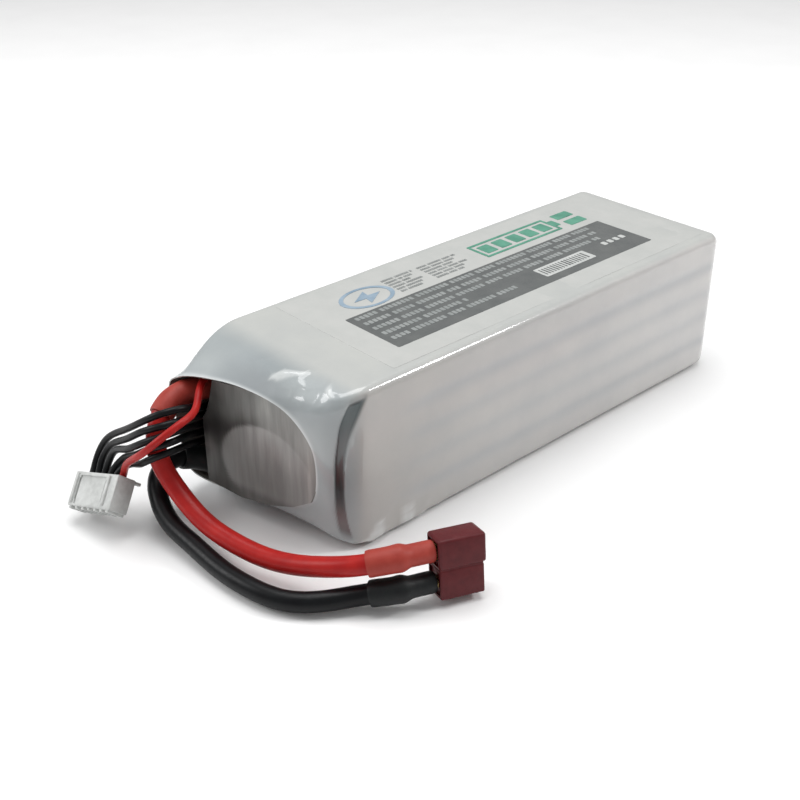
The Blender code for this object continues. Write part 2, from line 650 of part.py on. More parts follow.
def main():
    clear_scene()
    film = make_material("film", (0.74, 0.75, 0.74), 0.25)
    foil = make_material("foil", (0.55, 0.54, 0.52), 0.35, 0.6)
    foam = make_material("foam", (0.25, 0.25, 0.26), 0.9)
    card = make_material("card", (0.72, 0.70, 0.62), 0.8)
    white = make_material("label", (0.80, 0.80, 0.78), 0.5)
    board = make_material("board", (0.06, 0.18, 0.09), 0.5)
    cover = make_material("cover", (0.30, 0.29, 0.27), 0.35, 0.5)
    aluminium = make_material("aluminium", (0.75, 0.75, 0.76), 0.3, 1.0)
    copper = make_material("copper", (0.70, 0.45, 0.30), 0.3, 1.0)
    gold = make_material("gold", (0.80, 0.62, 0.28), 0.25, 1.0)
    tin = make_material("tin", (0.70, 0.70, 0.68), 0.3, 1.0)
    maroon = make_material("maroon_nylon", (0.25, 0.02, 0.03), 0.45)
    ivory = make_material("ivory_nylon", (0.85, 0.82, 0.75), 0.5)
    red = make_material("red_silicone", (0.55, 0.02, 0.02), 0.35)
    black = make_material("black_silicone", (0.02, 0.02, 0.02), 0.4)
    red_shrink = make_material("red_shrink", (0.60, 0.09, 0.05), 0.55)
    black_shrink = make_material("black_shrink", (0.02, 0.02, 0.022), 0.6)
    make_cells(foil, foam, aluminium, copper)
    make_cards(card, white, foam, board)
    make_tab_cover(cover)
    make_shrink_wrap(film)
    make_main_leads(red, black, red_shrink, black_shrink)
    make_plug(maroon, gold)
    make_balance_leads(red, black)
    make_balance_connector(ivory, tin)


main()
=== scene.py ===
"""Looks of a LiPo battery pack for radio-controlled models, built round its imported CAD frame.

Metres, +Z up. The pack stands on z = 0 and lies along Y, and its leads leave its front end at -Y.
"""

import json
import math

import bmesh
import bpy
import numpy as np
from mathutils import Matrix, Vector, noise

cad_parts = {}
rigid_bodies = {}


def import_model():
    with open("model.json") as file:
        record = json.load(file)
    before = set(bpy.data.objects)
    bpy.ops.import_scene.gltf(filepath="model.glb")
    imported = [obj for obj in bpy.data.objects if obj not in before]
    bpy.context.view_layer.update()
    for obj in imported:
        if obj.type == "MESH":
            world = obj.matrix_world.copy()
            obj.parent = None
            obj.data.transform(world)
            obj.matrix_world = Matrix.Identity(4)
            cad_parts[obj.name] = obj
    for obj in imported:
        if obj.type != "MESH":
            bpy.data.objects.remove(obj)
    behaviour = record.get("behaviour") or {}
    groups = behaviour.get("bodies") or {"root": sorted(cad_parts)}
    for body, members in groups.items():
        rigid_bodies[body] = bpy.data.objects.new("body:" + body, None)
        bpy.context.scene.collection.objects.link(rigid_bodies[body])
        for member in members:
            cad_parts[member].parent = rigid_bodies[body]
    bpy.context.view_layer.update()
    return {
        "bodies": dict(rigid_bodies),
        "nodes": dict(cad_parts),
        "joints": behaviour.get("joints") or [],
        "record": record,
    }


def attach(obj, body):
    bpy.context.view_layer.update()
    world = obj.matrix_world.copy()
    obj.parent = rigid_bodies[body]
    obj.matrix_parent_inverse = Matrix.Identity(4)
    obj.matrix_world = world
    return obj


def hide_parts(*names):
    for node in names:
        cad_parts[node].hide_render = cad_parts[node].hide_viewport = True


MM = 0.001

# The camera
CAMERA_PLACE = Vector((0.20184, -0.21026, 0.17409))
CAMERA_AZIMUTH = math.radians(47.54)
CAMERA_ELEVATION = math.radians(29.97)
CAMERA_ROLL = math.radians(-0.2)
CAMERA_LENS = 53.51

# The wrap
PACK_WIDTH = 52.0 * MM
PACK_HEIGHT = 43.0 * MM
REAR = 80.25 * MM
SHOULDER_START = -58.0 * MM
SHOULDER_EDGE = -67.5 * MM
WRAP_CENTRE = (-4.0 * MM, 20.0 * MM)
WRAP_CORNER = 2.6 * MM
FILM = 0.35 * MM
REAR_CURVE = 6.0 * MM
REAR_LIP_INSET = 9.0 * MM
CORNER_STEPS = 8
SIDE_STEPS = 54
FLAT_STEPS = 72
SHOULDER_RINGS = 46
BODY_RINGS = 66
REAR_RINGS = 14
CELL_SEAMS = (9.15 * MM, 17.2 * MM, 25.2 * MM, 33.3 * MM)
SEAM_DEPTHS = (0.42 * MM, 0.30 * MM, 0.34 * MM, 0.46 * MM)

# The print on the label, as x across and y along the pack's top
PAPER_INSET = 1.0 * MM
PAPER_CORNER = 0.5 * MM
PRINT_CORNER = 0.4 * MM
PANEL_LEFT, PANEL_RIGHT = -4.5 * MM, 15.5 * MM
PANEL_FRONT, PANEL_REAR = -40.0 * MM, 58.5 * MM
PANEL_MARGIN = 2.0 * MM
PANEL_ROW_SIZE = 2.0 * MM
PANEL_ROW_PITCH = 3.4 * MM
PANEL_ROW_ENDS = (53.0 * MM, 53.0 * MM, 50.0 * MM, -7.0 * MM, 8.0 * MM)
CODE_LEFT, CODE_RIGHT = 7.0 * MM, 12.5 * MM
CODE_FRONT, CODE_REAR = 17.0 * MM, 37.5 * MM
STRIPE_COUNT = 16
STRIPE_MARGIN = 1.0 * MM
STRIPE_PITCH = 1.15 * MM
STRIPE_WIDTH = 0.4 * MM
STRIPE_LIFT = 0.05 * MM
DOT_COUNT = 4
DOT_START = 45.5 * MM
DOT_PITCH = 2.6 * MM
DOT_WIDTH, DOT_LENGTH = 2.0 * MM, 1.7 * MM
SMALL_BLOCKS = ((-18.0 * MM, -6.0 * MM), (-5.0 * MM, 10.0 * MM))
SMALL_ROW_COUNT = 6
SMALL_LEFT = -15.5 * MM
SMALL_PITCH = 1.6 * MM
SMALL_SIZE = 1.0 * MM
SMALL_RAGGED_STEP = 2.0 * MM
GAUGE_LEFT, GAUGE_RIGHT = -16.5 * MM, -7.5 * MM
GAUGE_FRONT, GAUGE_REAR = 15.0 * MM, 46.5 * MM
GAUGE_WALL = 0.9 * MM
GAUGE_CAP = 2.0 * MM
GAUGE_BARS = 5
GAUGE_MARGIN = 2.0 * MM
GAUGE_PITCH = 5.8 * MM
GAUGE_BAR = 4.2 * MM
SHORT_WIDTH, SHORT_LENGTH = 3.6 * MM, 7.0 * MM
BOLT_CENTRE = (-11.0 * MM, -27.0 * MM)
RING_STEPS = 40
RING_RADIUS, RING_WALL = 5.6 * MM, 0.9 * MM
RING_STRETCH = 1.5

# The front opening's edge: its outline as (x, z) in millimetres, counter-clockwise seen from -Y,
# in a plane that slants back towards +X and towards the floor
FRONT_LIP_OUTLINE = [
    (18.0, 24.0), (16.0, 31.0), (10.0, 36.5), (-1.0, 38.5), (-12.0, 37.5), (-21.0, 35.0),
    (-25.5, 31.0), (-25.5, 20.0), (-25.5, 9.0), (-22.5, 4.5), (-12.0, 4.0), (-1.5, 4.5),
    (9.0, 8.0), (16.0, 13.0),
]
LIP_MIDDLE_Y = -73.5 * MM
LIP_SIDE_SLOPE = 0.23
LIP_RISE_SLOPE = -0.1

# The cover behind that opening: its outline as (x, z) in millimetres
COVER_OUTLINE = [
    (-17.0, 5.5), (-6.0, 4.5), (4.0, 6.0), (10.0, 8.0), (15.5, 11.5), (17.5, 16.0), (17.5, 27.0),
    (15.5, 32.0), (11.0, 36.0), (5.0, 37.5), (-12.5, 36.0), (-14.0, 30.5), (-15.5, 26.5),
    (-17.0, 24.0),
]
COVER_RIGHT = 18.6 * MM
COVER_BACK_AT_RIGHT = -67.2 * MM
COVER_SLOPE = 0.23
COVER_THICKNESS = 0.5 * MM
COVER_RINGS = 26
COVER_CENTRE = (1.0 * MM, 21.0 * MM)
COVER_EDGE_SPACING = 0.9 * MM

# Cord routes, in millimetres, from the tab board outwards
RED_LEAD_ROUTE = [
    (-20.5, -67.0, 29.5), (-20.5, -73.0, 30.0), (-20.5, -78.5, 30.5), (-20.0, -83.5, 29.5),
    (-18.5, -87.5, 26.5), (-16.5, -90.0, 21.5), (-13.5, -90.0, 16.0), (-8.0, -89.5, 11.5),
    (0.5, -89.0, 8.0), (11.0, -87.5, 6.5), (20.0, -85.0, 6.0), (28.0, -82.0, 7.0),
    (35.0, -79.0, 9.0), (41.0, -75.5, 11.0),
]
BLACK_LEAD_ROUTE = [
    (-9.0, -70.0, 6.5), (-13.5, -70.5, 7.0), (-17.5, -71.5, 8.0), (-20.5, -74.5, 9.5),
    (-22.0, -79.0, 11.5), (-22.0, -84.0, 12.0), (-20.0, -88.5, 10.5), (-15.5, -91.5, 8.0),
    (-9.0, -93.0, 5.0), (0.0, -93.0, 3.5), (11.5, -93.0, 2.6), (22.0, -92.0, 2.6),
    (31.0, -89.0, 2.6), (37.5, -83.0, 3.0), (42.0, -76.0, 3.5),
]
BALANCE_ROUTES = [
    [(-21.5, -67.0, 25.0), (-20.5, -72.0, 24.5), (-13.0, -82.5, 31.0), (-14.0, -89.0, 31.5),
     (-18.5, -92.0, 28.5), (-26.5, -93.0, 23.0), (-33.5, -94.5, 17.5), (-35.0, -97.0, 12.0)],
    [(-21.5, -67.0, 22.5), (-21.5, -72.0, 22.0), (-12.5, -83.5, 28.5), (-12.0, -90.0, 29.5),
     (-16.0, -93.0, 27.5), (-24.0, -94.0, 22.0), (-31.0, -95.0, 17.0), (-32.5, -97.0, 12.5)],
    [(-21.5, -67.0, 20.0), (-21.5, -72.0, 19.5), (-12.0, -85.0, 26.5), (-11.0, -91.5, 27.5),
     (-14.5, -94.5, 25.5), (-21.5, -95.5, 21.0), (-28.5, -95.5, 16.5)],
    [(-21.5, -67.0, 17.5), (-21.5, -72.0, 17.0), (-14.0, -83.0, 23.0), (-11.0, -89.5, 25.0),
     (-14.0, -93.0, 23.5), (-20.0, -94.0, 19.5), (-26.0, -94.5, 15.5)],
    [(-21.5, -67.0, 15.0), (-21.5, -72.0, 14.5), (-14.5, -83.0, 20.0), (-11.0, -89.5, 22.5),
     (-13.5, -93.5, 21.0), (-18.5, -94.0, 17.5), (-23.5, -94.5, 15.0)],
    [(-17.5, -67.0, 34.5), (-17.5, -73.0, 34.5), (-13.5, -78.5, 33.5), (-9.0, -83.0, 32.0),
     (-7.0, -88.5, 31.5), (-8.0, -93.5, 29.0), (-12.0, -96.5, 24.5),
     (-17.5, -97.0, 20.0), (-21.0, -96.5, 16.5)],
]
LEAD_DIAMETER = 4.9 * MM
BALANCE_DIAMETER = 1.8 * MM
LEAD_SPACING = 4.0 * MM
BALANCE_SPACING = 2.0 * MM

# Heat-shrink sleeves: their bore, their thickness over the lead, and the neck before the plug
SLEEVE_BORE = 2.5 * MM
SLEEVE_RADIUS = 3.12 * MM
SLEEVE_NECK_RADIUS = 2.62 * MM
SLEEVE_NECK_LENGTH = 6.5 * MM
SLEEVE_SPACING = 0.45 * MM
SLEEVE_SIDES = 36
SLEEVE_STOP = 0.2 * MM
PACK_SLEEVE_STEPS = slice(1, 6)
PLUG_SLEEVE_STEPS = slice(-4, None)

# The power plug, in its own frame: X from its wires to its mating face, Y across, Z up
PLUG_LENGTH = 11.6 * MM
PLUG_THICKNESS = 7.2 * MM
PLUG_HEIGHT = 14.6 * MM
PLUG_CORNER = Vector((54.8, -63.4, 2.2)) * MM
PLUG_TURN = (-12.2, 2.3, 69.7)
PLUG_STEP = 0.6 * MM
CONTACT_TAIL = 3.0 * MM
CONTACT_GAP = 0.3 * MM
CONTACT_THICKNESS = 1.1 * MM
CONTACT_WIDTH = 4.7 * MM
LEAD_STRAIGHT = 9.0 * MM
CUTTER_OVERRUN = 1.0 * MM
CONTACT_HEIGHTS = {"red": 11.1 * MM, "black": 3.5 * MM}

# The balance connector, in its own frame: X along its ways, Y through it, Z towards its wires
WAYS = 6
HOUSING_WIDTH = 16.8 * MM
HOUSING_THICKNESS = 5.6 * MM
HOUSING_HEIGHT = 9.5 * MM
HOUSING_CORNER = Vector((-33.0, -107.8, 3.9)) * MM
HOUSING_TURN = (-43.2, -17.4, 11.6)
HOUSING_PITCH = 2.42 * MM
HOUSING_ROW = 3.1 * MM
CAVITY_WIDTH = 1.7 * MM
CAVITY_DEPTH = 2.4 * MM
WIRE_CLEARANCE = 0.5 * MM
WIRE_ENTRY = 0.9 * MM

# The printed label on top, as heights over the film
PAPER_RISE = 0.05 * MM
PANEL_RISE = 0.10 * MM
INK_RISE = 0.15 * MM
PRINT_ROOT = 0.1 * MM

# Lights, as name, place, size and power, and the floor
SOFTBOXES = (
    ("top_softbox", (-0.10, 0.05, 0.75), 0.55, 3.9),
    ("left_softbox", (-0.50, -0.50, 0.42), 0.35, 2.2),
    ("edge_softbox", (0.42, 0.47, 0.56), 0.15, 2.0),
)
SOFTBOX_AIM = Vector((0.0, -0.02, 0.02))
WORLD_STRENGTH = 0.40
FLOOR_HALF_SIZE = 6.0
FLOOR_DROP = 0.3 * MM


def srgb(red, green, blue):
    """Linear colour from display values of 0 to 255."""
    values = []
    for value in (red, green, blue):
        share = value / 255
        values.append(share / 12.92 if share <= 0.04045 else ((share + 0.055) / 1.055) ** 2.4)
    return tuple(values)


def smooth_step(value, low, high):
    """0 below low, 1 above high, and a smooth rise between them."""
    share = np.clip((value - low) / (high - low), 0.0, 1.0)
    return share * share * (3 - 2 * share)


def bell(value, middle, width):
    return np.exp(-((value - middle) / width) ** 2)


# ---------------------------------------------------------------- materials


def add_noise(tree, vector, scale, detail=3.0, roughness=0.55):
    node = tree.nodes.new("ShaderNodeTexNoise")
    node.inputs["Scale"].default_value = scale
    node.inputs["Detail"].default_value = detail
    node.inputs["Roughness"].default_value = roughness
    tree.links.new(vector, node.inputs["Vector"])
    return node.outputs[0]


def add_ramp(tree, value, stops):
    """A colour ramp from (position, linear colour) stops."""
    node = tree.nodes.new("ShaderNodeValToRGB")
    elements = node.color_ramp.elements
    for element, (position, colour) in zip(elements, (stops[0], stops[-1])):
        element.position = position
        element.color = (*colour, 1.0)
    for position, colour in stops[1:-1]:
        element = elements.new(position)
        element.color = (*colour, 1.0)
    tree.links.new(value, node.inputs["Fac"])
    return node.outputs["Color"]


def add_range(tree, value, low, high, from_low=0.3, from_high=0.7):
    node = tree.nodes.new("ShaderNodeMapRange")
    node.inputs["From Min"].default_value = from_low
    node.inputs["From Max"].default_value = from_high
    node.inputs["To Min"].default_value = low
    node.inputs["To Max"].default_value = high
    tree.links.new(value, node.inputs["Value"])
    return node.outputs["Result"]


def add_bump(tree, height, distance, normal=None):
    node = tree.nodes.new("ShaderNodeBump")
    node.inputs["Distance"].default_value = distance
    tree.links.new(height, node.inputs["Height"])
    if normal is not None:
        tree.links.new(normal, node.inputs["Normal"])
    return node.outputs["Normal"]


def add_mapping(tree, stretch):
    coordinates = tree.nodes.new("ShaderNodeTexCoord")
    mapping = tree.nodes.new("ShaderNodeMapping")
    mapping.inputs["Scale"].default_value = stretch
    tree.links.new(coordinates.outputs["Object"], mapping.inputs["Vector"])
    return mapping.outputs["Vector"]


def new_material(name):
    material = bpy.data.materials.new(name)
    material.use_nodes = True
    return material, material.node_tree, material.node_tree.nodes["Principled BSDF"]


def make_material(name, dark, light, grain, roughness, relief, stretch=(1.0, 1.0, 1.0),
                  metallic=0.0, coat=0.0, coat_roughness=0.1, specular=0.5):
    """A surface whose colour, roughness and relief vary with noise.

    grain is the size of its finest detail in metres, roughness a pair of limits, and relief
    the height of its finest bumps.
    """
    material, tree, shader = new_material(name)
    vector = add_mapping(tree, stretch)
    broad = add_noise(tree, vector, 0.12 / grain)
    fine = add_noise(tree, vector, 1.0 / grain)
    tree.links.new(add_ramp(tree, broad, [(0.32, dark), (0.68, light)]),
                   shader.inputs["Base Color"])
    tree.links.new(add_range(tree, fine, *roughness), shader.inputs["Roughness"])
    waves = add_bump(tree, broad, relief * 4)
    tree.links.new(add_bump(tree, fine, relief, waves), shader.inputs["Normal"])
    shader.inputs["Metallic"].default_value = metallic
    shader.inputs["Coat Weight"].default_value = coat
    shader.inputs["Coat Roughness"].default_value = coat_roughness
    shader.inputs["Specular IOR Level"].default_value = specular
    return material


def multiply_tint(tree, shader, shade):
    """Colours a surface with the tint painted on its mesh, multiplied by a shade."""
    tint = tree.nodes.new("ShaderNodeAttribute")
    tint.attribute_name = "tint"
    mix = tree.nodes.new("ShaderNodeMixRGB")
    mix.blend_type = "MULTIPLY"
    mix.inputs["Fac"].default_value = 1.0
    tree.links.new(tint.outputs["Color"], mix.inputs["Color1"])
    tree.links.new(shade, mix.inputs["Color2"])
    tree.links.new(mix.outputs["Color"], shader.inputs["Base Color"])


def make_film_material():
    """Glossy shrink film: its tint is painted on the mesh, and soft ripples run through it."""
    material, tree, shader = new_material("film")
    vector = add_mapping(tree, (1.0, 1.0, 1.0))
    cloud = add_noise(tree, vector, 70.0, detail=5.0)
    multiply_tint(tree, shader, add_ramp(tree, cloud, [(0.30, (0.90, 0.905, 0.915)),
                                                       (0.70, (1.0, 0.995, 0.985))]))
    grain = add_noise(tree, vector, 900.0, detail=2.0)
    tree.links.new(add_range(tree, grain, 0.36, 0.50), shader.inputs["Roughness"])
    ripples = add_noise(tree, vector, 110.0, detail=2.0, roughness=0.4)
    waves = add_bump(tree, ripples, 0.16 * MM)
    tree.links.new(add_bump(tree, grain, 0.006 * MM, waves), shader.inputs["Normal"])
    shader.inputs["Coat Weight"].default_value = 1.0
    shader.inputs["Coat Roughness"].default_value = 0.06
    return material


def make_cover_material():
    """The grey cover: upright streaks over the tint painted on its mesh, the paler ones painted
    streak highlights.
    """
    material, tree, shader = new_material("cover")
    streaks = add_noise(tree, add_mapping(tree, (1.0, 1.0, 0.10)), 420.0, detail=3.0)
    broad = add_noise(tree, add_mapping(tree, (1.0, 1.0, 0.35)), 110.0)
    # Upright streaks darken and brighten the tint; the brighter ones are painted streak highlights
    multiply_tint(tree, shader, add_ramp(tree, streaks, [
        (0.35, (0.80, 0.80, 0.80)), (0.62, (1.05, 1.05, 1.05)), (0.80, (1.45, 1.43, 1.40))]))
    tree.links.new(add_range(tree, broad, 0.28, 0.46), shader.inputs["Roughness"])
    waves = add_bump(tree, broad, 0.25 * MM)
    tree.links.new(add_bump(tree, streaks, 0.03 * MM, waves), shader.inputs["Normal"])
    shader.inputs["Metallic"].default_value = 0.35
    return material


GLOSS = {"coat": 1.0}
ALONG_TAB = (0.2, 1.0, 1.0)

# Each surface's dark and light colour, grain in mm, roughness, relief in mm, and what else it has
SURFACES = {
    "paper": (srgb(182, 184, 181), srgb(189, 190, 187), 0.8, (0.40, 0.55), 0.004,
              {"coat": 1.0, "coat_roughness": 0.09}),
    "panel_ink": (srgb(74, 78, 78), srgb(88, 91, 90), 0.6, (0.40, 0.55), 0.004, GLOSS),
    "pale_ink": (srgb(128, 133, 132), srgb(148, 152, 151), 0.5, (0.4, 0.5), 0.004, GLOSS),
    "white_ink": (srgb(184, 187, 185), srgb(198, 200, 198), 0.5, (0.4, 0.5), 0.004, GLOSS),
    "grey_ink": (srgb(120, 124, 123), srgb(150, 153, 152), 0.5, (0.4, 0.5), 0.004, GLOSS),
    "green_ink": (srgb(46, 128, 104), srgb(74, 152, 126), 0.5, (0.4, 0.5), 0.004, GLOSS),
    "blue_ink": (srgb(120, 144, 164), srgb(150, 170, 186), 0.5, (0.4, 0.5), 0.004, GLOSS),
    "foil": ((0.50, 0.50, 0.49), (0.62, 0.61, 0.59), 0.9, (0.28, 0.42), 0.02, {"metallic": 0.8}),
    "foam": ((0.050, 0.050, 0.053), (0.085, 0.085, 0.09), 0.5, (0.85, 1.0), 0.12,
             {"specular": 0.2}),
    "card": (srgb(205, 200, 184), srgb(220, 216, 203), 0.4, (0.75, 0.9), 0.02,
             {"stretch": (1.0, 0.3, 1.0)}),
    "label": (srgb(214, 214, 208), srgb(224, 224, 219), 0.4, (0.5, 0.6), 0.005, {}),
    "board": ((0.010, 0.030, 0.018), (0.018, 0.048, 0.028), 0.7, (0.35, 0.5), 0.01,
              {"coat": 0.5}),
    "aluminium": ((0.66, 0.66, 0.67), (0.78, 0.78, 0.79), 0.4, (0.25, 0.4), 0.01,
                  {"stretch": ALONG_TAB, "metallic": 1.0}),
    "copper": ((0.62, 0.36, 0.24), (0.76, 0.50, 0.36), 0.4, (0.25, 0.4), 0.01,
               {"stretch": ALONG_TAB, "metallic": 1.0}),
    "gold": ((0.70, 0.50, 0.20), (0.84, 0.66, 0.32), 0.3, (0.2, 0.35), 0.006, {"metallic": 1.0}),
    "tin": ((0.60, 0.60, 0.58), (0.74, 0.74, 0.72), 0.3, (0.25, 0.4), 0.006, {"metallic": 1.0}),
    "maroon_nylon": ((0.085, 0.009, 0.012), (0.110, 0.013, 0.016), 0.22, (0.34, 0.50), 0.014,
                     {"specular": 0.25}),
    "ivory_nylon": (srgb(186, 188, 186), srgb(204, 206, 204), 0.22, (0.34, 0.5), 0.008, {}),
    "red_silicone": ((0.34, 0.010, 0.010), (0.42, 0.016, 0.013), 0.5, (0.28, 0.42), 0.008,
                     {"specular": 0.22}),
    "black_silicone": ((0.002, 0.002, 0.003), (0.004, 0.005, 0.006), 0.5, (0.30, 0.45), 0.008,
                       {"specular": 0.22}),
    "red_shrink": ((0.32, 0.036, 0.025), (0.37, 0.048, 0.034), 0.35, (0.42, 0.58), 0.012,
                   {"specular": 0.3}),
    "black_shrink": ((0.004, 0.005, 0.006), (0.007, 0.009, 0.009), 0.35, (0.42, 0.6), 0.012,
                     {"specular": 0.3}),
}


def make_materials():
    made = {"film": make_film_material(), "cover": make_cover_material()}
    for name, (dark, light, grain, roughness, relief, extras) in SURFACES.items():
        made[name] = make_material(name, dark, light, grain * MM, roughness, relief * MM, **extras)
    return made


# ---------------------------------------------------------------- meshes


def new_object(name, data):
    item = bpy.data.objects.new(name, data)
    bpy.context.collection.objects.link(item)
    return item


def add_piece(name, mesh, material, nodes=()):
    """A piece of the object, riding on its one body and standing for the CAD nodes named."""
    mesh.materials.append(material)
    piece = new_object(name, mesh)
    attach(piece, "root")
    if nodes:
        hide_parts(*nodes)
    return piece


def mesh_from_bmesh(name, shape, sharp_angle=40):
    bmesh.ops.recalc_face_normals(shape, faces=shape.faces[:])
    mesh = bpy.data.meshes.new(name)
    shape.to_mesh(mesh)
    shape.free()
    mesh.shade_smooth()
    mesh.set_sharp_from_angle(angle=math.radians(sharp_angle))
    return mesh


def bridge(shape, near, far):
    """Quads between two rings with the same number of points."""
    count = len(near)
    for step in range(count):
        following = (step + 1) % count
        shape.faces.new([near[step], near[following], far[following], far[step]])


def skin_walls(shape, outer_rings, inner_rings):
    """Quads over an outer and an inner wall of rings, joined at both open ends."""
    for rings in (outer_rings, inner_rings):
        for near, far in zip(rings, rings[1:]):
            bridge(shape, near, far)
    bridge(shape, outer_rings[0], inner_rings[0])
    bridge(shape, outer_rings[-1], inner_rings[-1])


def box_bmesh(low, high, bevel=0.0, segments=3):
    """A box between two corners, with all its edges rounded by a bevel."""
    shape = bmesh.new()
    bmesh.ops.create_cube(shape, size=1.0)
    for vertex in shape.verts:
        for axis in range(3):
            side = vertex.co[axis] + 0.5
            vertex.co[axis] = low[axis] + side * (high[axis] - low[axis])
    if bevel > 0.0:
        bmesh.ops.bevel(shape, geom=shape.edges[:], offset=bevel, segments=segments,
                        profile=0.5, affect="EDGES", clamp_overlap=True)
    return shape


def combine(name, base, steps, sharp_angle=35):
    """One mesh from a base shape and (operation, shape) steps of exact Booleans."""
    body = new_object(name, mesh_from_bmesh(name, base))
    tools = []
    for operation, shape in steps:
        tool = new_object(f"{name}_tool", mesh_from_bmesh(f"{name}_tool", shape))
        modifier = body.modifiers.new(operation, "BOOLEAN")
        modifier.operation = operation
        modifier.solver = "EXACT"
        modifier.object = tool
        tools.append(tool)
    graph = bpy.context.evaluated_depsgraph_get()
    mesh = bpy.data.meshes.new_from_object(body.evaluated_get(graph))
    for item in [body, *tools]:
        bpy.data.objects.remove(item, do_unlink=True)
    mesh.materials.clear()
    mesh.shade_smooth()
    mesh.set_sharp_from_angle(angle=math.radians(sharp_angle))
    return mesh


def paint(mesh, colours):
    """Stores one linear colour per vertex as the mesh's tint."""
    tint = mesh.color_attributes.new("tint", "FLOAT_COLOR", "POINT")
    values = np.ones((len(mesh.vertices), 4), np.float32)
    values[:, :3] = colours
    tint.data.foreach_set("color", values.ravel())


# ---------------------------------------------------------------- the wrap


def wrap_section():
    """Points of the wrap's cross-section, counter-clockwise from its lower right corner."""
    half = PACK_WIDTH / 2 - WRAP_CORNER
    top = PACK_HEIGHT - WRAP_CORNER
    corners = [(half, WRAP_CORNER, -90), (half, top, 0), (-half, top, 90),
               (-half, WRAP_CORNER, 180)]
    points = []
    for index, (x, z, start) in enumerate(corners):
        for step in range(CORNER_STEPS + 1):
            angle = math.radians(start + 90 * step / CORNER_STEPS)
            points.append((x + WRAP_CORNER * math.cos(angle), z + WRAP_CORNER * math.sin(angle)))
        steps = SIDE_STEPS if index % 2 == 0 else FLAT_STEPS
        last = points[-1]
        next_x, next_z, next_start = corners[(index + 1) % 4]
        angle = math.radians(next_start)
        goal = (next_x + WRAP_CORNER * math.cos(angle), next_z + WRAP_CORNER * math.sin(angle))
        for step in range(1, steps):
            share = step / steps
            points.append((last[0] + share * (goal[0] - last[0]),
                           last[1] + share * (goal[1] - last[1])))
    return np.array(points)


def catmull_rom(before, start, end, after, t):
    """The point a share t of the way from start to end on a Catmull-Rom curve."""
    return 0.5 * (2 * start + (end - before) * t
                  + (2 * before - 5 * start + 4 * end - after) * t ** 2
                  + (3 * start - before - 3 * end + after) * t ** 3)


def closed_curve(points, steps=24):
    """Points round a closed Catmull-Rom curve."""
    count = len(points)
    result = []
    for index in range(count):
        before, start, end, after = (Vector(points[(index + shift) % count])
                                     for shift in (-1, 0, 1, 2))
        result += [catmull_rom(before, start, end, after, step / steps) for step in range(steps)]
    return result


def lip_point(x, z):
    """A point of the front opening's slanted plane."""
    across = x - WRAP_CENTRE[0]
    upward = z - WRAP_CENTRE[1]
    return Vector((x, LIP_MIDDLE_Y + LIP_SIDE_SLOPE * across + LIP_RISE_SLOPE * upward, z))


def front_lip(section):
    """The front opening's edge, with one point for each point of the wrap's section."""
    edge = np.array(closed_curve([lip_point(x * MM, z * MM) for x, z in FRONT_LIP_OUTLINE]))
    angles = np.arctan2(edge[:, 2] - WRAP_CENTRE[1], edge[:, 0] - WRAP_CENTRE[0])
    order = np.argsort(angles)
    wanted = np.arctan2(section[:, 1] - WRAP_CENTRE[1], section[:, 0] - WRAP_CENTRE[0])
    return np.stack([np.interp(wanted, angles[order], edge[order, axis], period=2 * math.pi)
                     for axis in range(3)], axis=1)


def at_depth(section, y, inset=0.0):
    """The section at one place along the pack, drawn in by a distance on each side."""
    middle = PACK_HEIGHT / 2
    across = 1.0 - inset / (PACK_WIDTH / 2)
    upward = 1.0 - inset / middle
    return np.stack([section[:, 0] * across, np.full(len(section), y),
                     middle + (section[:, 1] - middle) * upward], axis=1)


def wrap_grid(section):
    """The wrap's smooth surface as rings, front to rear, with each ring's place on it.

    A place is 1 at the front lip, 0 along the body, and down to -1 at the rear lip.
    """
    lip = front_lip(section)
    start = at_depth(section, SHOULDER_START)
    edge = at_depth(section, SHOULDER_EDGE)
    rings = []
    places = []
    for step in range(SHOULDER_RINGS + 1):
        t = 1.0 - step / SHOULDER_RINGS
        rings.append((1 - t) ** 2 * start + 2 * t * (1 - t) * edge + t ** 2 * lip)
        places.append(t)
    body_end = REAR - REAR_CURVE
    for step in range(1, BODY_RINGS + 1):
        y = SHOULDER_START + (body_end - SHOULDER_START) * step / BODY_RINGS
        rings.append(at_depth(section, y))
        places.append(0.0)
    for step in range(1, REAR_RINGS + 1):
        angle = math.pi / 2 * step / REAR_RINGS
        inset = REAR_CURVE * (1 - math.cos(angle))
        rings.append(at_depth(section, body_end + REAR_CURVE * math.sin(angle), inset))
        places.append(-0.6 * step / REAR_RINGS)
    for step in (1, 2, 3):
        inset = REAR_CURVE + (REAR_LIP_INSET - REAR_CURVE) * step / 3
        rings.append(at_depth(section, REAR, inset))
        places.append(-0.6 - 0.4 * step / 3)
    return np.array(rings), np.array(places)


def grid_normals(rings):
    """Outward directions at each point of a grid of rings."""
    around = np.roll(rings, -1, axis=1) - np.roll(rings, 1, axis=1)
    along = np.gradient(rings, axis=0)
    across = np.cross(along, around)
    return across / np.linalg.norm(across, axis=2, keepdims=True)


def noise_field(points, scale, seed, stretch=(1.0, 1.0, 1.0)):
    """Smooth noise of about -1 to 1 at each point of a grid; scale is features per metre."""
    shift = Vector((seed * 3.7, seed * 1.9, seed * 5.3))
    flat = points.reshape(-1, 3) * np.array(stretch) * scale
    values = [noise.noise(Vector(point) + shift) for point in flat]
    return np.array(values).reshape(points.shape[:-1])


def creases(points, scale, seed, stretch=(1.0, 1.0, 1.0)):
    """Sharp-topped folds of 0 to 1, as gathered film has."""
    return (1.0 - np.clip(np.abs(noise_field(points, scale, seed, stretch)) * 3.0, 0, 1)) ** 2


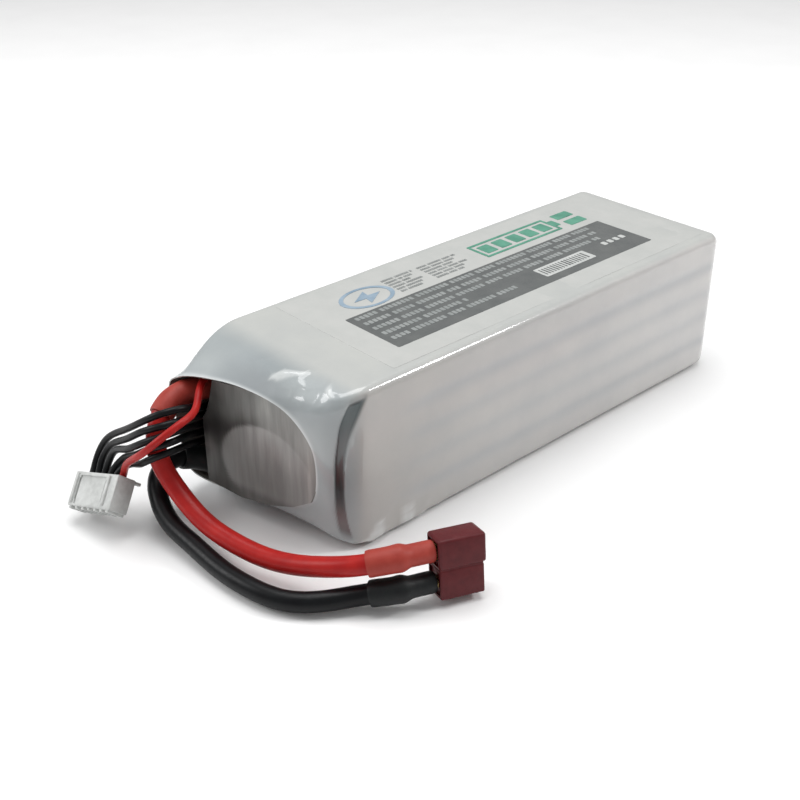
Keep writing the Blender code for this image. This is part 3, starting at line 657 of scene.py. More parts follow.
def wrap_relief(rings, places, section, normals):
    """How far the film stands out from its smooth surface, in metres."""
    x, y, z = rings[..., 0], rings[..., 1], rings[..., 2]
    place = places[:, None]
    side = np.abs(normals[..., 0])
    top = np.clip(normals[..., 2], 0, 1)
    section_z = section[None, :, 1]
    on_side = smooth_step(side, 0.75, 0.98)
    ends = smooth_step(y, -50 * MM, -34 * MM) * (1 - smooth_step(y, 66 * MM, 74 * MM))
    relief = np.zeros(x.shape)
    wander = noise_field(rings, 30.0, 1, (0.0, 1.0, 0.0)) * 0.35 * MM
    for seam, depth in zip(CELL_SEAMS, SEAM_DEPTHS):
        strength = 0.75 + 0.45 * noise_field(rings, 26.0, seam / MM)
        relief -= depth * bell(section_z + wander, seam, 1.9 * MM) * strength * ends * on_side
    relief += 0.10 * MM * noise_field(rings, 55.0, 2) * ends
    relief += 0.05 * MM * noise_field(rings, 160.0, 3, (1.0, 0.5, 1.0)) * on_side
    # Folds over the shoulder, strongest above the opening's right
    shoulder = bell(place, 0.52, 0.26) * top
    over_opening = bell(x, 11 * MM, 11 * MM)
    relief += 0.75 * MM * creases(rings, 150.0, 4, (1.0, 0.6, 1.0)) * shoulder * over_opening
    relief += 0.28 * MM * noise_field(rings, 150.0, 5) * shoulder
    relief += 0.22 * MM * creases(rings, 330.0, 9, (1.0, 0.7, 1.0)) * shoulder * over_opening
    # The film hollows over the gap beside the cells' front corner
    hollow = corner_shadow(places, section)
    relief -= 0.55 * MM * hollow
    # Puckers along the lower front of the side, and at the bottom front corner
    low_front = bell(y, -50 * MM, 14 * MM) * (1 - smooth_step(z, 2.5 * MM, 9 * MM)) * side
    relief += 0.75 * MM * creases(rings, 190.0, 6, (1.0, 0.8, 0.8)) * low_front
    relief += 0.24 * MM * creases(rings, 340.0, 10) * low_front
    # Gathers on the rear fold
    rear = smooth_step(-place, 0.15, 0.7) + 0 * x
    turn = np.arctan2(z - PACK_HEIGHT / 2, x) * 7
    swirl = np.stack([np.cos(turn / 7) * 6, place + 0 * x, np.sin(turn / 7) * 6], axis=-1)
    relief += 0.45 * MM * creases(swirl, 1.0, 8, (1.0, 0.8, 1.0)) * rear
    return relief


def corner_shadow(places, section):
    """0 to 1 where the film lies over the dark gap at the cells' front right corner."""
    x, z = section[None, :, 0], section[None, :, 1]
    place = places[:, None]
    bow = np.abs((z - 18 * MM) / (24 * MM)) ** 2.4
    middle = 0.57 - 0.40 * bow
    half_width = 0.09 + 0.04 * smooth_step(z, 30 * MM, 38 * MM)
    across = 1 - smooth_step(np.abs(place - middle), half_width * 0.85, half_width * 1.2)
    upright = smooth_step(z, 1.2 * MM, 4.5 * MM) * (1 - smooth_step(z, 40.2 * MM, 42.2 * MM))
    return across * upright * smooth_step(x, 21 * MM, 24.5 * MM)


def wrap_tint(rings, places, section, normals, relief):
    """The film's colour at each point: what lies under it shows through as a tint, and light and
    shade are painted in as well.
    """
    x, y = rings[..., 0], rings[..., 1]
    place = places[:, None]
    section_z = section[None, :, 1] + 0 * x
    colour = np.zeros((*x.shape, 3)) + srgb(187, 189, 186)

    def lay(tone, mask):
        nonlocal colour
        colour = colour + (np.array(srgb(*tone)) - colour) * np.clip(mask, 0, 1)[..., None]

    on_side = smooth_step(np.abs(normals[..., 0]), 0.5, 0.95)
    on_body = 1 - smooth_step(place + 0 * x, 0.02, 0.35)
    lay((184, 182, 180), on_side)
    # Painted light and shade on the sides: lighter towards the rear, darker towards the front
    lay((198, 196, 194), on_side * smooth_step(y, -10 * MM, 70 * MM))
    lay((178, 175, 171), on_side * (1 - smooth_step(y, -60 * MM, 0 * MM)))
    blush = np.clip(noise_field(rings, 34.0, 11, (1.0, 0.5, 1.6)) * 1.4, 0, 1)
    lay((190, 182, 179), on_side * on_body * blush * 0.4)
    # Painted shade along the valleys between the cells
    ends = smooth_step(y, -52 * MM, -40 * MM)
    for seam, depth in zip(CELL_SEAMS, SEAM_DEPTHS):
        shade = bell(section_z, seam, 1.9 * MM) * ends * depth / (0.46 * MM)
        lay((160, 163, 168), on_side * shade * 0.5)
    # Painted shade where the sides turn under towards the floor
    lay((176, 172, 168), on_side * (1 - smooth_step(section_z, 0.8 * MM, 2.6 * MM)))
    # Over the shoulder there is nothing but film and the dark front end behind it
    shoulder = smooth_step(place + 0 * x, 0.08, 0.5)
    lay((150, 157, 159), shoulder)
    cloud = np.clip(0.5 + noise_field(rings, 60.0, 12) * 1.3, 0, 1)
    lay((178, 184, 185), shoulder * cloud * 0.7)
    lay((130, 134, 138), smooth_step(place + 0 * x, 0.5, 0.8) * (1 - cloud) * 0.5)
    lay((224, 228, 228), bell(place + 0 * x, 1.0, 0.03) * 0.8)
    # The dark gap, painted on the film as shade: teal at the top, nearly black in the middle,
    # reddish low down
    hollow = corner_shadow(places, section)
    gap_shade = np.array(srgb(26, 30, 32)) + 0 * colour
    teal = smooth_step(section_z, 30 * MM, 38 * MM)[..., None]
    reddish_low = (bell(section_z, 7 * MM, 5 * MM) * 0.7)[..., None]
    gap_shade = gap_shade + (np.array(srgb(44, 62, 64)) - gap_shade) * teal
    gap_shade = gap_shade + (np.array(srgb(112, 74, 72)) - gap_shade) * reddish_low
    dark_streaks = np.clip(0.93 + noise_field(rings, 260.0, 13, (1.0, 1.0, 0.35)) * 0.35, 0, 1)
    colour = colour + (gap_shade - colour) * (hollow * dark_streaks)[..., None]
    # Where film is gathered into folds, painted highlights whiten their crests
    gathered = smooth_step(relief, 0.16 * MM, 0.42 * MM)
    lay((226, 229, 228), gathered * 0.6)
    # Painted shade on the underside
    lay((168, 166, 163), (1 - smooth_step(normals[..., 2], -0.95, -0.5)) * on_body)
    lay((186, 187, 186), smooth_step(-place + 0 * x, 0.2, 0.8) * 0.8)
    return colour


def make_wrap(material):
    section = wrap_section()
    smooth, places = wrap_grid(section)
    normals = grid_normals(smooth)
    relief = wrap_relief(smooth, places, section, normals)
    outer = smooth + normals * relief[..., None]
    inner = outer - normals * FILM
    shape = bmesh.new()
    walls = []
    for wall in (outer, inner):
        walls.append([[shape.verts.new(point) for point in ring] for ring in wall])
    skin_walls(shape, *walls)
    mesh = mesh_from_bmesh("film_wrap", shape, sharp_angle=50)
    outside = wrap_tint(smooth, places, section, normals, relief).reshape(-1, 3)
    # The film's inner face is painted darker: painted shade inside the wrap
    inside = np.zeros(outside.shape) + srgb(150, 147, 141)
    paint(mesh, np.concatenate([outside, inside]))
    return add_piece("film_wrap", mesh, material, ["shrink_wrap"])


# ---------------------------------------------------------------- the front cover


def dense_outline(outline, spacing):
    """Points along a closed outline at about an even spacing, with its corners kept."""
    points = []
    for index, start in enumerate(outline):
        end = outline[(index + 1) % len(outline)]
        steps = max(1, round(math.dist(start, end) / spacing))
        for step in range(steps):
            share = step / steps
            points.append((start[0] + share * (end[0] - start[0]),
                           start[1] + share * (end[1] - start[1])))
    return points


def cover_relief(x, z):
    """How far the cover's face stands forward: a soft bow with upright ripples."""
    bow = 0.35 * MM * math.cos((x / MM) / 22 * math.pi / 2)
    ripple = 0.10 * MM * noise.noise(Vector((x * 420, z * 40, 3.0)))
    dent = 0.16 * MM * noise.noise(Vector((x * 110, z * 90, 8.0)))
    return bow + ripple + dent


def cover_tint(x, z):
    """The cover's colour: dark at its left and low edge, with a paler round patch; the dark left,
    a dark band and the patch are painted reflections, and a small spot is a painted highlight.
    """
    base = np.array(srgb(140, 141, 138))
    # A paler round patch: a painted reflection
    patch = math.hypot((x - 2.5 * MM) / 1.15, z - 15.5 * MM)
    inside = 1 - smooth_step(patch, 11.6 * MM, 12.6 * MM)
    base = base + (np.array(srgb(164, 164, 162)) - base) * inside * 0.9
    right = smooth_step(x, 2 * MM, 14 * MM) * (1 - inside)
    base = base + (np.array(srgb(158, 157, 154)) - base) * right * 0.6
    # Darker at the left: the painted reflection of the wires
    left = 1 - smooth_step(x, -14 * MM, -5 * MM)
    base = base + (np.array(srgb(72, 69, 67)) - base) * left * (1 - inside) * 0.8
    # A dark band at the left: the painted reflection of the wires
    dark_streak_height = 24.0 * MM + 0.35 * (x + 8 * MM)
    dark_streaks = float(bell(z, dark_streak_height, 3.4 * MM)) * (1 - smooth_step(x, -4 * MM, 5 * MM))
    base = base + (np.array(srgb(58, 55, 55)) - base) * dark_streaks * 0.85 * (1 - inside)
    # A painted highlight at the left
    glare = float(bell(z, 16.5 * MM, 3.0 * MM)) * float(bell(x, -15.5 * MM, 2.2 * MM))
    base = base + (np.array(srgb(150, 147, 145)) - base) * glare * 0.8
    low = 1 - smooth_step(z, 6.5 * MM, 9.5 * MM)
    return base + (np.array(srgb(78, 76, 73)) - base) * low * 0.6


def make_cover(material):
    outline = dense_outline([(x * MM, z * MM) for x, z in COVER_OUTLINE],
                            COVER_EDGE_SPACING)
    centre_x, centre_z = COVER_CENTRE
    shape = bmesh.new()
    walls = []
    colours = []
    for depth in (COVER_THICKNESS, 0.0):
        rings = []
        for ring in range(COVER_RINGS):
            share = 1 - ring / COVER_RINGS
            row = []
            for x, z in outline:
                px = centre_x + (x - centre_x) * share
                pz = centre_z + (z - centre_z) * share
                y = COVER_BACK_AT_RIGHT - COVER_SLOPE * (COVER_RIGHT - px) - depth
                row.append(shape.verts.new((px, y - cover_relief(px, pz), pz)))
                colours.append(cover_tint(px, pz))
            rings.append(row)
        walls.append(rings)
        shape.faces.new(rings[-1])
        for near, far in zip(rings, rings[1:]):
            bridge(shape, near, far)
    bridge(shape, walls[0][0], walls[1][0])
    mesh = mesh_from_bmesh("front_cover", shape, sharp_angle=50)
    paint(mesh, np.array(colours))
    return add_piece("front_cover", mesh, material, ["tab_cover"])


# ---------------------------------------------------------------- the printed label


def add_prism(shape, outline, rise):
    """A thin closed prism on the pack's top face, from just under it to a small rise over it."""
    low = [shape.verts.new((x, y, PACK_HEIGHT - PRINT_ROOT)) for x, y in outline]
    high = [shape.verts.new((x, y, PACK_HEIGHT + rise)) for x, y in outline]
    shape.faces.new(list(reversed(low)))
    shape.faces.new(high)
    bridge(shape, low, high)


def rounded_box(left, front, right, back, radius, steps=4):
    """A flat rounded rectangle as (x, y) points, counter-clockwise."""
    corners = [(right - radius, front + radius, -90), (right - radius, back - radius, 0),
               (left + radius, back - radius, 90), (left + radius, front + radius, 180)]
    points = []
    for x, y, start in corners:
        for step in range(steps + 1):
            angle = math.radians(start + 90 * step / steps)
            points.append((x + radius * math.cos(angle), y + radius * math.sin(angle)))
    return points


def in_mm(points):
    return [(x * MM, y * MM) for x, y in points]


def print_piece(name, shape, material):
    return add_piece(name, mesh_from_bmesh(name, shape, sharp_angle=30), material)


def greeked_row(shape, x, start, end, size, seed):
    """A row of short blocks in word-like groups, standing in for a line of small print."""
    y = start
    count = 0
    while y < end - size:
        word = 2 + int(4.5 * (1 + noise.noise(Vector((seed * 7.3, count * 1.7, 0.4)))))
        for _ in range(word):
            if y > end - size:
                break
            tall = size * (0.86 + 0.14 * noise.noise(Vector((seed, y / MM * 0.9, 2.0))))
            wide = size * 0.56
            add_prism(shape, rounded_box(x - size / 2, y, x - size / 2 + tall, y + wide,
                                         size * 0.1, 2), INK_RISE)
            y += wide + size * 0.16
        y += size * 0.5
        count += 1


def make_label(nodes, materials):
    """The white sheet, the dark panel and generic marks where a pack carries its print."""
    corners = [nodes["label_sheet"].matrix_world @ Vector(corner)
               for corner in nodes["label_sheet"].bound_box]
    left, right = min(c.x for c in corners), max(c.x for c in corners)
    front, rear = min(c.y for c in corners), max(c.y for c in corners)
    sheet = bmesh.new()
    add_prism(sheet, rounded_box(left + PAPER_INSET, front, right - PAPER_INSET, rear,
                                 PAPER_CORNER), PAPER_RISE)
    print_piece("label_paper", sheet, materials["paper"])
    panel = bmesh.new()
    add_prism(panel, rounded_box(PANEL_LEFT, PANEL_FRONT, PANEL_RIGHT, PANEL_REAR, PRINT_CORNER),
              PANEL_RISE)
    print_piece("label_panel", panel, materials["panel_ink"])

    rows = bmesh.new()
    for index, row_end in enumerate(PANEL_ROW_ENDS):
        x = PANEL_LEFT + PANEL_MARGIN + PANEL_ROW_PITCH * index
        greeked_row(rows, x, PANEL_FRONT + PANEL_MARGIN, row_end, PANEL_ROW_SIZE, index + 1)
    print_piece("label_rows", rows, materials["pale_ink"])

    marks = bmesh.new()
    add_prism(marks, rounded_box(CODE_LEFT, CODE_FRONT, CODE_RIGHT, CODE_REAR, PRINT_CORNER),
              INK_RISE)
    for index in range(DOT_COUNT):
        y = DOT_START + DOT_PITCH * index
        add_prism(marks, rounded_box(CODE_LEFT, y, CODE_LEFT + DOT_WIDTH, y + DOT_LENGTH,
                                     PRINT_CORNER), INK_RISE)
    print_piece("label_marks", marks, materials["white_ink"])
    stripes = bmesh.new()
    for index in range(STRIPE_COUNT):
        y = CODE_FRONT + STRIPE_MARGIN + STRIPE_PITCH * index
        wide = STRIPE_WIDTH * (1 + abs(noise.noise(Vector((index * 2.3, 1.0, 0.0)))))
        x0, x1 = CODE_LEFT + STRIPE_MARGIN, CODE_RIGHT - STRIPE_MARGIN
        add_prism(stripes, [(x0, y), (x1, y), (x1, y + wide), (x0, y + wide)],
                  INK_RISE + STRIPE_LIFT)
    print_piece("label_stripes", stripes, materials["panel_ink"])

    small = bmesh.new()
    for block, (block_start, block_end) in enumerate(SMALL_BLOCKS):
        for index in range(SMALL_ROW_COUNT):
            row_end = block_end - SMALL_RAGGED_STEP * (index % 3)
            greeked_row(small, SMALL_LEFT + SMALL_PITCH * index, block_start, row_end,
                        SMALL_SIZE, 20 + SMALL_ROW_COUNT * block + index)
    print_piece("label_small_print", small, materials["grey_ink"])
    make_gauge(materials["green_ink"])
    make_bolt_mark(materials["blue_ink"])


def make_gauge(material):
    """A generic charge gauge: a battery outline with five bars, and two short bars after it."""
    gauge = bmesh.new()
    left, right, front, rear = GAUGE_LEFT, GAUGE_RIGHT, GAUGE_FRONT, GAUGE_REAR
    middle = (left + right) / 2
    frame = [(left, front, left + GAUGE_WALL, rear), (right - GAUGE_WALL, front, right, rear),
             (left + GAUGE_WALL, front, right - GAUGE_WALL, front + GAUGE_WALL),
             (left + GAUGE_WALL, rear - GAUGE_WALL, right - GAUGE_WALL, rear),
             (middle - GAUGE_CAP, rear, middle + GAUGE_CAP, rear + GAUGE_CAP)]
    bars = []
    for index in range(GAUGE_BARS):
        bar = front + GAUGE_MARGIN + GAUGE_PITCH * index
        bars.append((left + GAUGE_MARGIN, bar, right - GAUGE_MARGIN, bar + GAUGE_BAR))
    short_front = rear + 2 * GAUGE_CAP
    short_rear = short_front + SHORT_LENGTH
    short = [(left, short_front, left + SHORT_WIDTH, short_rear),
             (right - SHORT_WIDTH, short_front, right, short_rear)]
    for x0, y0, x1, y1 in frame + bars + short:
        add_prism(gauge, rounded_box(x0, y0, x1, y1, PRINT_CORNER), INK_RISE)
    print_piece("label_gauge", gauge, material)


def make_bolt_mark(material):
    """A generic lightning bolt in a ring."""
    mark = bmesh.new()
    centre_x, centre_y = BOLT_CENTRE
    for step in range(RING_STEPS):
        start, end = (2 * math.pi * (step + share) / RING_STEPS for share in (0.0, 1.0))
        inner = RING_RADIUS - RING_WALL
        outline = [(RING_RADIUS, start), (RING_RADIUS, end), (inner, end), (inner, start)]
        add_prism(mark, [(centre_x + r * math.cos(a), centre_y + RING_STRETCH * r * math.sin(a))
                         for r, a in outline], INK_RISE)
    bolt = in_mm([(-3.2, 1.2), (0.4, -4.6), (0.6, -0.8), (3.4, -1.2), (-0.4, 4.8), (-0.6, 0.8)])
    add_prism(mark, [(centre_x + x, centre_y + y) for x, y in bolt], INK_RISE)
    print_piece("label_bolt", mark, material)


# ---------------------------------------------------------------- cords and sleeves


def smooth_route(route, spacing):
    """Points at an even spacing along a natural cubic spline through a route in metres."""
    knots = np.array([tuple(point) for point in route])
    chords = np.linalg.norm(np.diff(knots, axis=0), axis=1) ** 0.7
    times = np.concatenate([[0.0], np.cumsum(chords)])
    count = len(knots)
    steps = np.diff(times)
    matrix = np.eye(count)
    slopes = np.zeros((count, 3))
    for row in range(1, count - 1):
        before, after = steps[row - 1], steps[row]
        matrix[row, row - 1:row + 2] = (before, 2 * (before + after), after)
        rise = (knots[row + 1] - knots[row]) / after - (knots[row] - knots[row - 1]) / before
        slopes[row] = 6 * rise
    bends = np.linalg.solve(matrix, slopes)
    fine = []
    for index in range(count - 1):
        step = steps[index]
        for share in np.linspace(0.0, 1.0, 40, endpoint=False):
            rest = 1.0 - share
            curve = bends[index] * (rest ** 3 - rest) + bends[index + 1] * (share ** 3 - share)
            fine.append(rest * knots[index] + share * knots[index + 1] + curve * step ** 2 / 6)
    fine.append(knots[-1])
    fine = np.array(fine)
    lengths = np.concatenate([[0.0], np.cumsum(np.linalg.norm(np.diff(fine, axis=0), axis=1))])
    amount = max(2, round(lengths[-1] / spacing))
    wanted = np.linspace(0.0, lengths[-1], amount + 1)
    return [Vector([np.interp(w, lengths, fine[:, axis]) for axis in range(3)]) for w in wanted]


def in_metres(route):
    return [Vector(point) * MM for point in route]


def placement(corner, turn):
    """The matrix that puts a connector's own frame at a corner, turned about X, Y and Z."""
    turned = Matrix.Identity(4)
    for axis, angle in zip("XYZ", turn):
        turned = Matrix.Rotation(math.radians(angle), 4, axis) @ turned
    return Matrix.Translation(corner) @ turned


PLUG_PLACE = placement(PLUG_CORNER, PLUG_TURN)
HOUSING_PLACE = placement(HOUSING_CORNER, HOUSING_TURN)


def lead_end(colour):
    """The last points of a main lead, running straight into its plug contact."""
    height = CONTACT_HEIGHTS[colour]
    return [PLUG_PLACE @ Vector((-back, PLUG_THICKNESS / 2, height))
            for back in (LEAD_STRAIGHT, CONTACT_TAIL + CONTACT_GAP)]


def way_middle(way):
    """How far along the balance housing a way lies; half ways lie between two."""
    return HOUSING_WIDTH / 2 + (way - (WAYS - 1) / 2) * HOUSING_PITCH


def balance_end(way):
    """The last points of a balance lead: over its way, then just inside the housing."""
    return [HOUSING_PLACE @ Vector((way_middle(way), HOUSING_ROW, HOUSING_HEIGHT + above))
            for above in (WIRE_CLEARANCE, -WIRE_ENTRY)]


def make_cord(name, points, diameter, material, node):
    curve = bpy.data.curves.new(name, "CURVE")
    curve.dimensions = "3D"
    curve.bevel_depth = diameter / 2
    curve.bevel_resolution = 6
    curve.resolution_u = 4
    curve.use_fill_caps = True
    spline = curve.splines.new("BEZIER")
    spline.bezier_points.add(len(points) - 1)
    for knot, place in zip(spline.bezier_points, points):
        knot.co = place
        knot.handle_left_type = "AUTO"
        knot.handle_right_type = "AUTO"
    return add_piece(name, curve, material, [node])


def resample(points, spacing):
    """A finer path through points, by a Catmull-Rom curve."""
    fine = []
    for index in range(len(points) - 1):
        before = points[max(index - 1, 0)]
        start, end = points[index], points[index + 1]
        after = points[min(index + 2, len(points) - 1)]
        steps = max(1, round((end - start).length / spacing))
        fine += [catmull_rom(before, start, end, after, step / steps) for step in range(steps)]
    fine.append(points[-1])
    return fine


def frames_along(points):
    """A pair of axes across the path at each point, turned as little as possible."""
    frames = []
    side = Vector((1.0, 0.0, 0.0))
    for index in range(len(points)):
        ahead = points[min(index + 1, len(points) - 1)]
        behind = points[max(index - 1, 0)]
        along = (ahead - behind).normalized()
        side = (side - along * side.dot(along)).normalized()
        frames.append((side.copy(), along.cross(side)))
    return frames


def make_sleeve(name, points, neck, material, node, seed):
    """A shrunk sleeve on a lead, open at both ends, with a neck at its far end if wanted."""
    path = resample(points, SLEEVE_SPACING)
    frames = frames_along(path)
    lengths = [0.0]
    for start, end in zip(path, path[1:]):
        lengths.append(lengths[-1] + (end - start).length)
    total = lengths[-1]
    shape = bmesh.new()
    outer_rings = []
    inner_rings = []
    for place, (side, up), length in zip(path, frames, lengths):
        narrow = smooth_step(length, total - SLEEVE_NECK_LENGTH - 1.2 * MM,
                             total - SLEEVE_NECK_LENGTH + 0.9 * MM) if neck else 0.0
        radius = SLEEVE_RADIUS + (SLEEVE_NECK_RADIUS - SLEEVE_RADIUS) * narrow
        if neck:
            radius += 0.14 * MM * bell(length, total - SLEEVE_NECK_LENGTH - 1.6 * MM, 1.2 * MM)
        edge = min(length, total - length)
        radius -= 0.10 * MM * (1 - smooth_step(edge, 0.0, 0.5 * MM))
        outer = []
        inner = []
        for step in range(SLEEVE_SIDES):
            angle = 2 * math.pi * step / SLEEVE_SIDES
            direction = side * math.cos(angle) + up * math.sin(angle)
            at = Vector((math.cos(angle) * 1.3, math.sin(angle) * 1.3, length / MM * 0.28 + seed))
            wobble = 0.07 * MM * noise.noise(at) * smooth_step(edge, 0.0, 1.5 * MM)
            outer.append(shape.verts.new(place + direction * (radius + wobble)))
            inner.append(shape.verts.new(place + direction * SLEEVE_BORE))
        outer_rings.append(outer)
        inner_rings.append(inner)
    skin_walls(shape, outer_rings, inner_rings)
    return add_piece(name, mesh_from_bmesh(name, shape), material, [node])


def make_main_leads(materials):
    """Both main leads with their sleeves, as {colour: (cord, pieces on it, exit)}."""
    made = {}
    routes = {"red": RED_LEAD_ROUTE, "black": BLACK_LEAD_ROUTE}
    for index, (colour, route) in enumerate(routes.items()):
        points = smooth_route(in_metres(route) + lead_end(colour), LEAD_SPACING)
        rubber, shrink = f"{colour}_silicone", f"{colour}_shrink"
        cord = make_cord(f"{colour}_main_lead", points, LEAD_DIAMETER, materials[rubber],
                         f"{colour}_lead")
        face = PLUG_PLACE @ Vector((-SLEEVE_STOP, PLUG_THICKNESS / 2, CONTACT_HEIGHTS[colour]))
        sleeves = [
            make_sleeve(f"{colour}_shrink_pack", points[PACK_SLEEVE_STEPS], False,
                        materials[shrink], f"{colour}_pack_sleeve", 10 * index),
            make_sleeve(f"{colour}_shrink_plug", points[PLUG_SLEEVE_STEPS] + [face], True,
                        materials[shrink], f"{colour}_plug_sleeve", 10 * index + 5),
        ]
        made[colour] = (cord, sleeves, points[0])
    return made


def make_balance_leads(materials):
    made = []
    for way, route in enumerate(BALANCE_ROUTES):
        points = smooth_route(in_metres(route) + balance_end(way), BALANCE_SPACING)
        rubber = "red_silicone" if way == WAYS - 1 else "black_silicone"
        cord = make_cord(f"balance_wire_{way + 1}", points, BALANCE_DIAMETER, materials[rubber],
                         f"balance_lead_{way + 1}")
        made.append((cord, points[0]))
    return made


# ---------------------------------------------------------------- connectors


def make_plug(material):
    """The power plug: two stacked halves with rounded edges, a recessed wire end and slots."""
    middle = PLUG_HEIGHT / 2
    centre = PLUG_THICKNESS / 2
    seam = 0.06 * MM
    upper = box_bmesh((0.0, 0.0, middle + seam), (PLUG_LENGTH, PLUG_THICKNESS, PLUG_HEIGHT),
                      0.75 * MM, 4)
    lower = box_bmesh((0.12 * MM, 0.14 * MM, 0.0),
                      (PLUG_LENGTH - PLUG_STEP, PLUG_THICKNESS - 0.1 * MM, middle - seam),
                      0.45 * MM, 3)
    core = box_bmesh((0.30 * MM, 0.32 * MM, 0.6 * MM),
                     (PLUG_LENGTH - PLUG_STEP - 0.2 * MM, PLUG_THICKNESS - 0.3 * MM,
                      PLUG_HEIGHT - 0.8 * MM))
    steps = [("UNION", lower), ("UNION", core)]
    rim = 0.8 * MM
    recess = 0.7 * MM
    for low, high in ((rim, middle - 0.5 * MM), (middle + 0.6 * MM, PLUG_HEIGHT - rim)):
        steps.append(("DIFFERENCE", box_bmesh((-CUTTER_OVERRUN, rim, low),
                                              (recess, PLUG_THICKNESS - rim, high))))
    wide = CONTACT_WIDTH / 2 + CONTACT_GAP
    thin = CONTACT_THICKNESS / 2 + CONTACT_GAP
    for colour, (across, upward) in (("red", (thin, wide)), ("black", (wide, thin))):
        height = CONTACT_HEIGHTS[colour]
        steps.append(("DIFFERENCE", box_bmesh(
            (-CUTTER_OVERRUN, centre - across, height - upward),
            (PLUG_LENGTH + CUTTER_OVERRUN, centre + across, height + upward))))
    mesh = combine("power_plug", upper, steps)
    mesh.transform(PLUG_PLACE)
    return add_piece("power_plug", mesh, material, ["plug_housing"])


def make_balance_plug(material):
    """The six-way balance housing: a panelled front, two ribs, two ears, and its teeth."""
    width, thickness, height = HOUSING_WIDTH, HOUSING_THICKNESS, HOUSING_HEIGHT
    base = box_bmesh((0.0, 0.0, 0.7 * MM), (width, thickness, height), 0.3 * MM, 2)
    panel = box_bmesh((2.3 * MM, -CUTTER_OVERRUN, 1.3 * MM),
                      (width - 4.4 * MM, 0.35 * MM, height - 0.9 * MM), 0.15 * MM, 2)
    steps = [("DIFFERENCE", panel)]
    for left, wide in ((0.7 * MM, 1.0 * MM), (width - 3.7 * MM, 1.1 * MM)):
        rib = box_bmesh((left, -0.5 * MM, 1.5 * MM), (left + wide, 0.6 * MM, height - 0.5 * MM),
                        0.3 * MM, 3)
        steps.append(("UNION", rib))
    for left in (2.0 * MM, width - 4.3 * MM):
        groove = box_bmesh((left, -CUTTER_OVERRUN, 2.4 * MM),
                           (left + 0.35 * MM, 0.7 * MM, height - 1.6 * MM))
        steps.append(("DIFFERENCE", groove))
    for left in (0.3 * MM, width - 1.5 * MM):
        ear = box_bmesh((left, thickness - 1.0 * MM, height - 1.0 * MM),
                        (left + 1.2 * MM, thickness + 2.0 * MM, height - 0.15 * MM),
                        0.25 * MM, 2)
        steps.append(("UNION", ear))
    for number in range(WAYS + 1):
        middle = way_middle(number - 0.5)
        tooth = box_bmesh((middle - 0.5 * MM, 0.25 * MM, 0.0),
                          (middle + 0.5 * MM, thickness - 0.25 * MM, 1.3 * MM), 0.25 * MM, 2)
        steps.append(("UNION", tooth))
    half = CAVITY_WIDTH / 2
    depth = CAVITY_DEPTH / 2
    for way in range(WAYS):
        middle = way_middle(way)
        cavity = box_bmesh((middle - half, HOUSING_ROW - depth, -CUTTER_OVERRUN),
                           (middle + half, HOUSING_ROW + depth, height + CUTTER_OVERRUN))
        steps.append(("DIFFERENCE", cavity))
    mesh = combine("balance_plug", base, steps)
    mesh.transform(HOUSING_PLACE)
    return add_piece("balance_plug", mesh, material, ["balance_housing"])


# ---------------------------------------------------------------- the CAD nodes that stay


KEPT_NODES = {
    "cell_pad_": "foam", "cell_": "foil", "positive_tab_": "aluminium", "negative_tab_": "copper",
    "bottom_card": "card", "top_card": "card", "label_sheet": "label", "rear_pad": "foam",
    "tab_board": "board", "plug_contact_": "gold", "balance_terminal_": "tin",
}


def dress_kept_nodes(nodes, materials):
    """Gives every CAD node that is still shown its detailed material."""
    for name, node in nodes.items():
        if node.hide_render:
            continue
        start = next(start for start in KEPT_NODES if name.startswith(start))
        node.data.materials.clear()
        node.data.materials.append(materials[KEPT_NODES[start]])


# ---------------------------------------------------------------- camera, light and floor


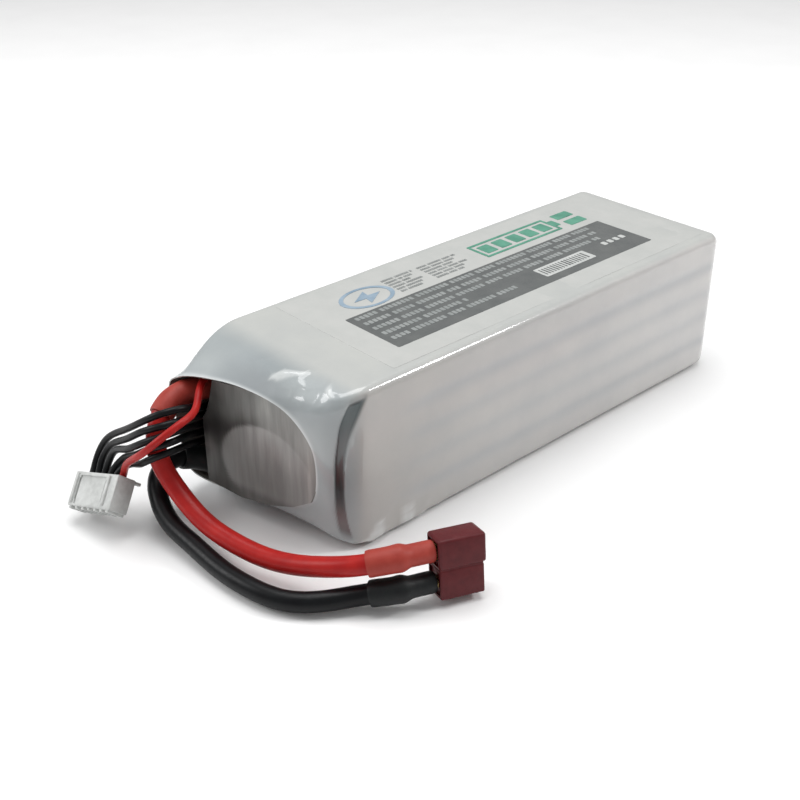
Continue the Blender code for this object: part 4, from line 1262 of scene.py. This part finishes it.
def make_camera():
    across = Vector((math.cos(CAMERA_AZIMUTH), math.sin(CAMERA_AZIMUTH), 0.0))
    back = Vector((math.sin(CAMERA_AZIMUTH) * math.cos(CAMERA_ELEVATION),
                   -math.cos(CAMERA_AZIMUTH) * math.cos(CAMERA_ELEVATION),
                   math.sin(CAMERA_ELEVATION)))
    upward = back.cross(across)
    right = across * math.cos(CAMERA_ROLL) + upward * math.sin(CAMERA_ROLL)
    top = upward * math.cos(CAMERA_ROLL) - across * math.sin(CAMERA_ROLL)
    turned = Matrix((right, top, back)).transposed().to_4x4()
    camera = new_object("camera", bpy.data.cameras.new("camera"))
    camera.data.lens = CAMERA_LENS
    camera.data.sensor_width = 36.0
    camera.matrix_world = Matrix.Translation(CAMERA_PLACE) @ turned
    bpy.context.scene.camera = camera


def add_softbox(name, place, size, power):
    light = bpy.data.lights.new(name, "AREA")
    light.shape = "SQUARE"
    light.size = size
    light.energy = power
    item = new_object(name, light)
    item.location = place
    item.rotation_mode = "QUATERNION"
    item.rotation_quaternion = (SOFTBOX_AIM - Vector(place)).to_track_quat("-Z", "Y")


def make_studio():
    """Even white surroundings, three softboxes, and a plain pale floor."""
    scene = bpy.context.scene
    scene.view_settings.view_transform = "Standard"
    world = bpy.data.worlds.new("studio")
    world.use_nodes = True
    background = world.node_tree.nodes["Background"]
    background.inputs["Color"].default_value = (1.0, 1.0, 1.0, 1.0)
    background.inputs["Strength"].default_value = WORLD_STRENGTH
    scene.world = world
    for softbox in SOFTBOXES:
        add_softbox(*softbox)
    shape = bmesh.new()
    bmesh.ops.create_grid(shape, x_segments=1, y_segments=1, size=FLOOR_HALF_SIZE)
    bmesh.ops.translate(shape, verts=shape.verts[:], vec=(0.0, 0.0, -FLOOR_DROP))
    floor = new_object("floor", mesh_from_bmesh("floor", shape))
    floor.data.materials.append(make_material("floor", (0.93, 0.93, 0.93), (0.95, 0.95, 0.95),
                                              4 * MM, (0.85, 0.95), 0.01 * MM, specular=0.1))


def main():
    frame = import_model()
    make_camera()
    materials = make_materials()
    leads = make_main_leads(materials)
    balance = make_balance_leads(materials)
    plug = make_plug(materials["maroon_nylon"])
    balance_plug = make_balance_plug(materials["ivory_nylon"])
    make_wrap(materials["film"])
    make_cover(materials["cover"])
    make_label(frame["nodes"], materials)
    dress_kept_nodes(frame["nodes"], materials)
    make_studio()


main()
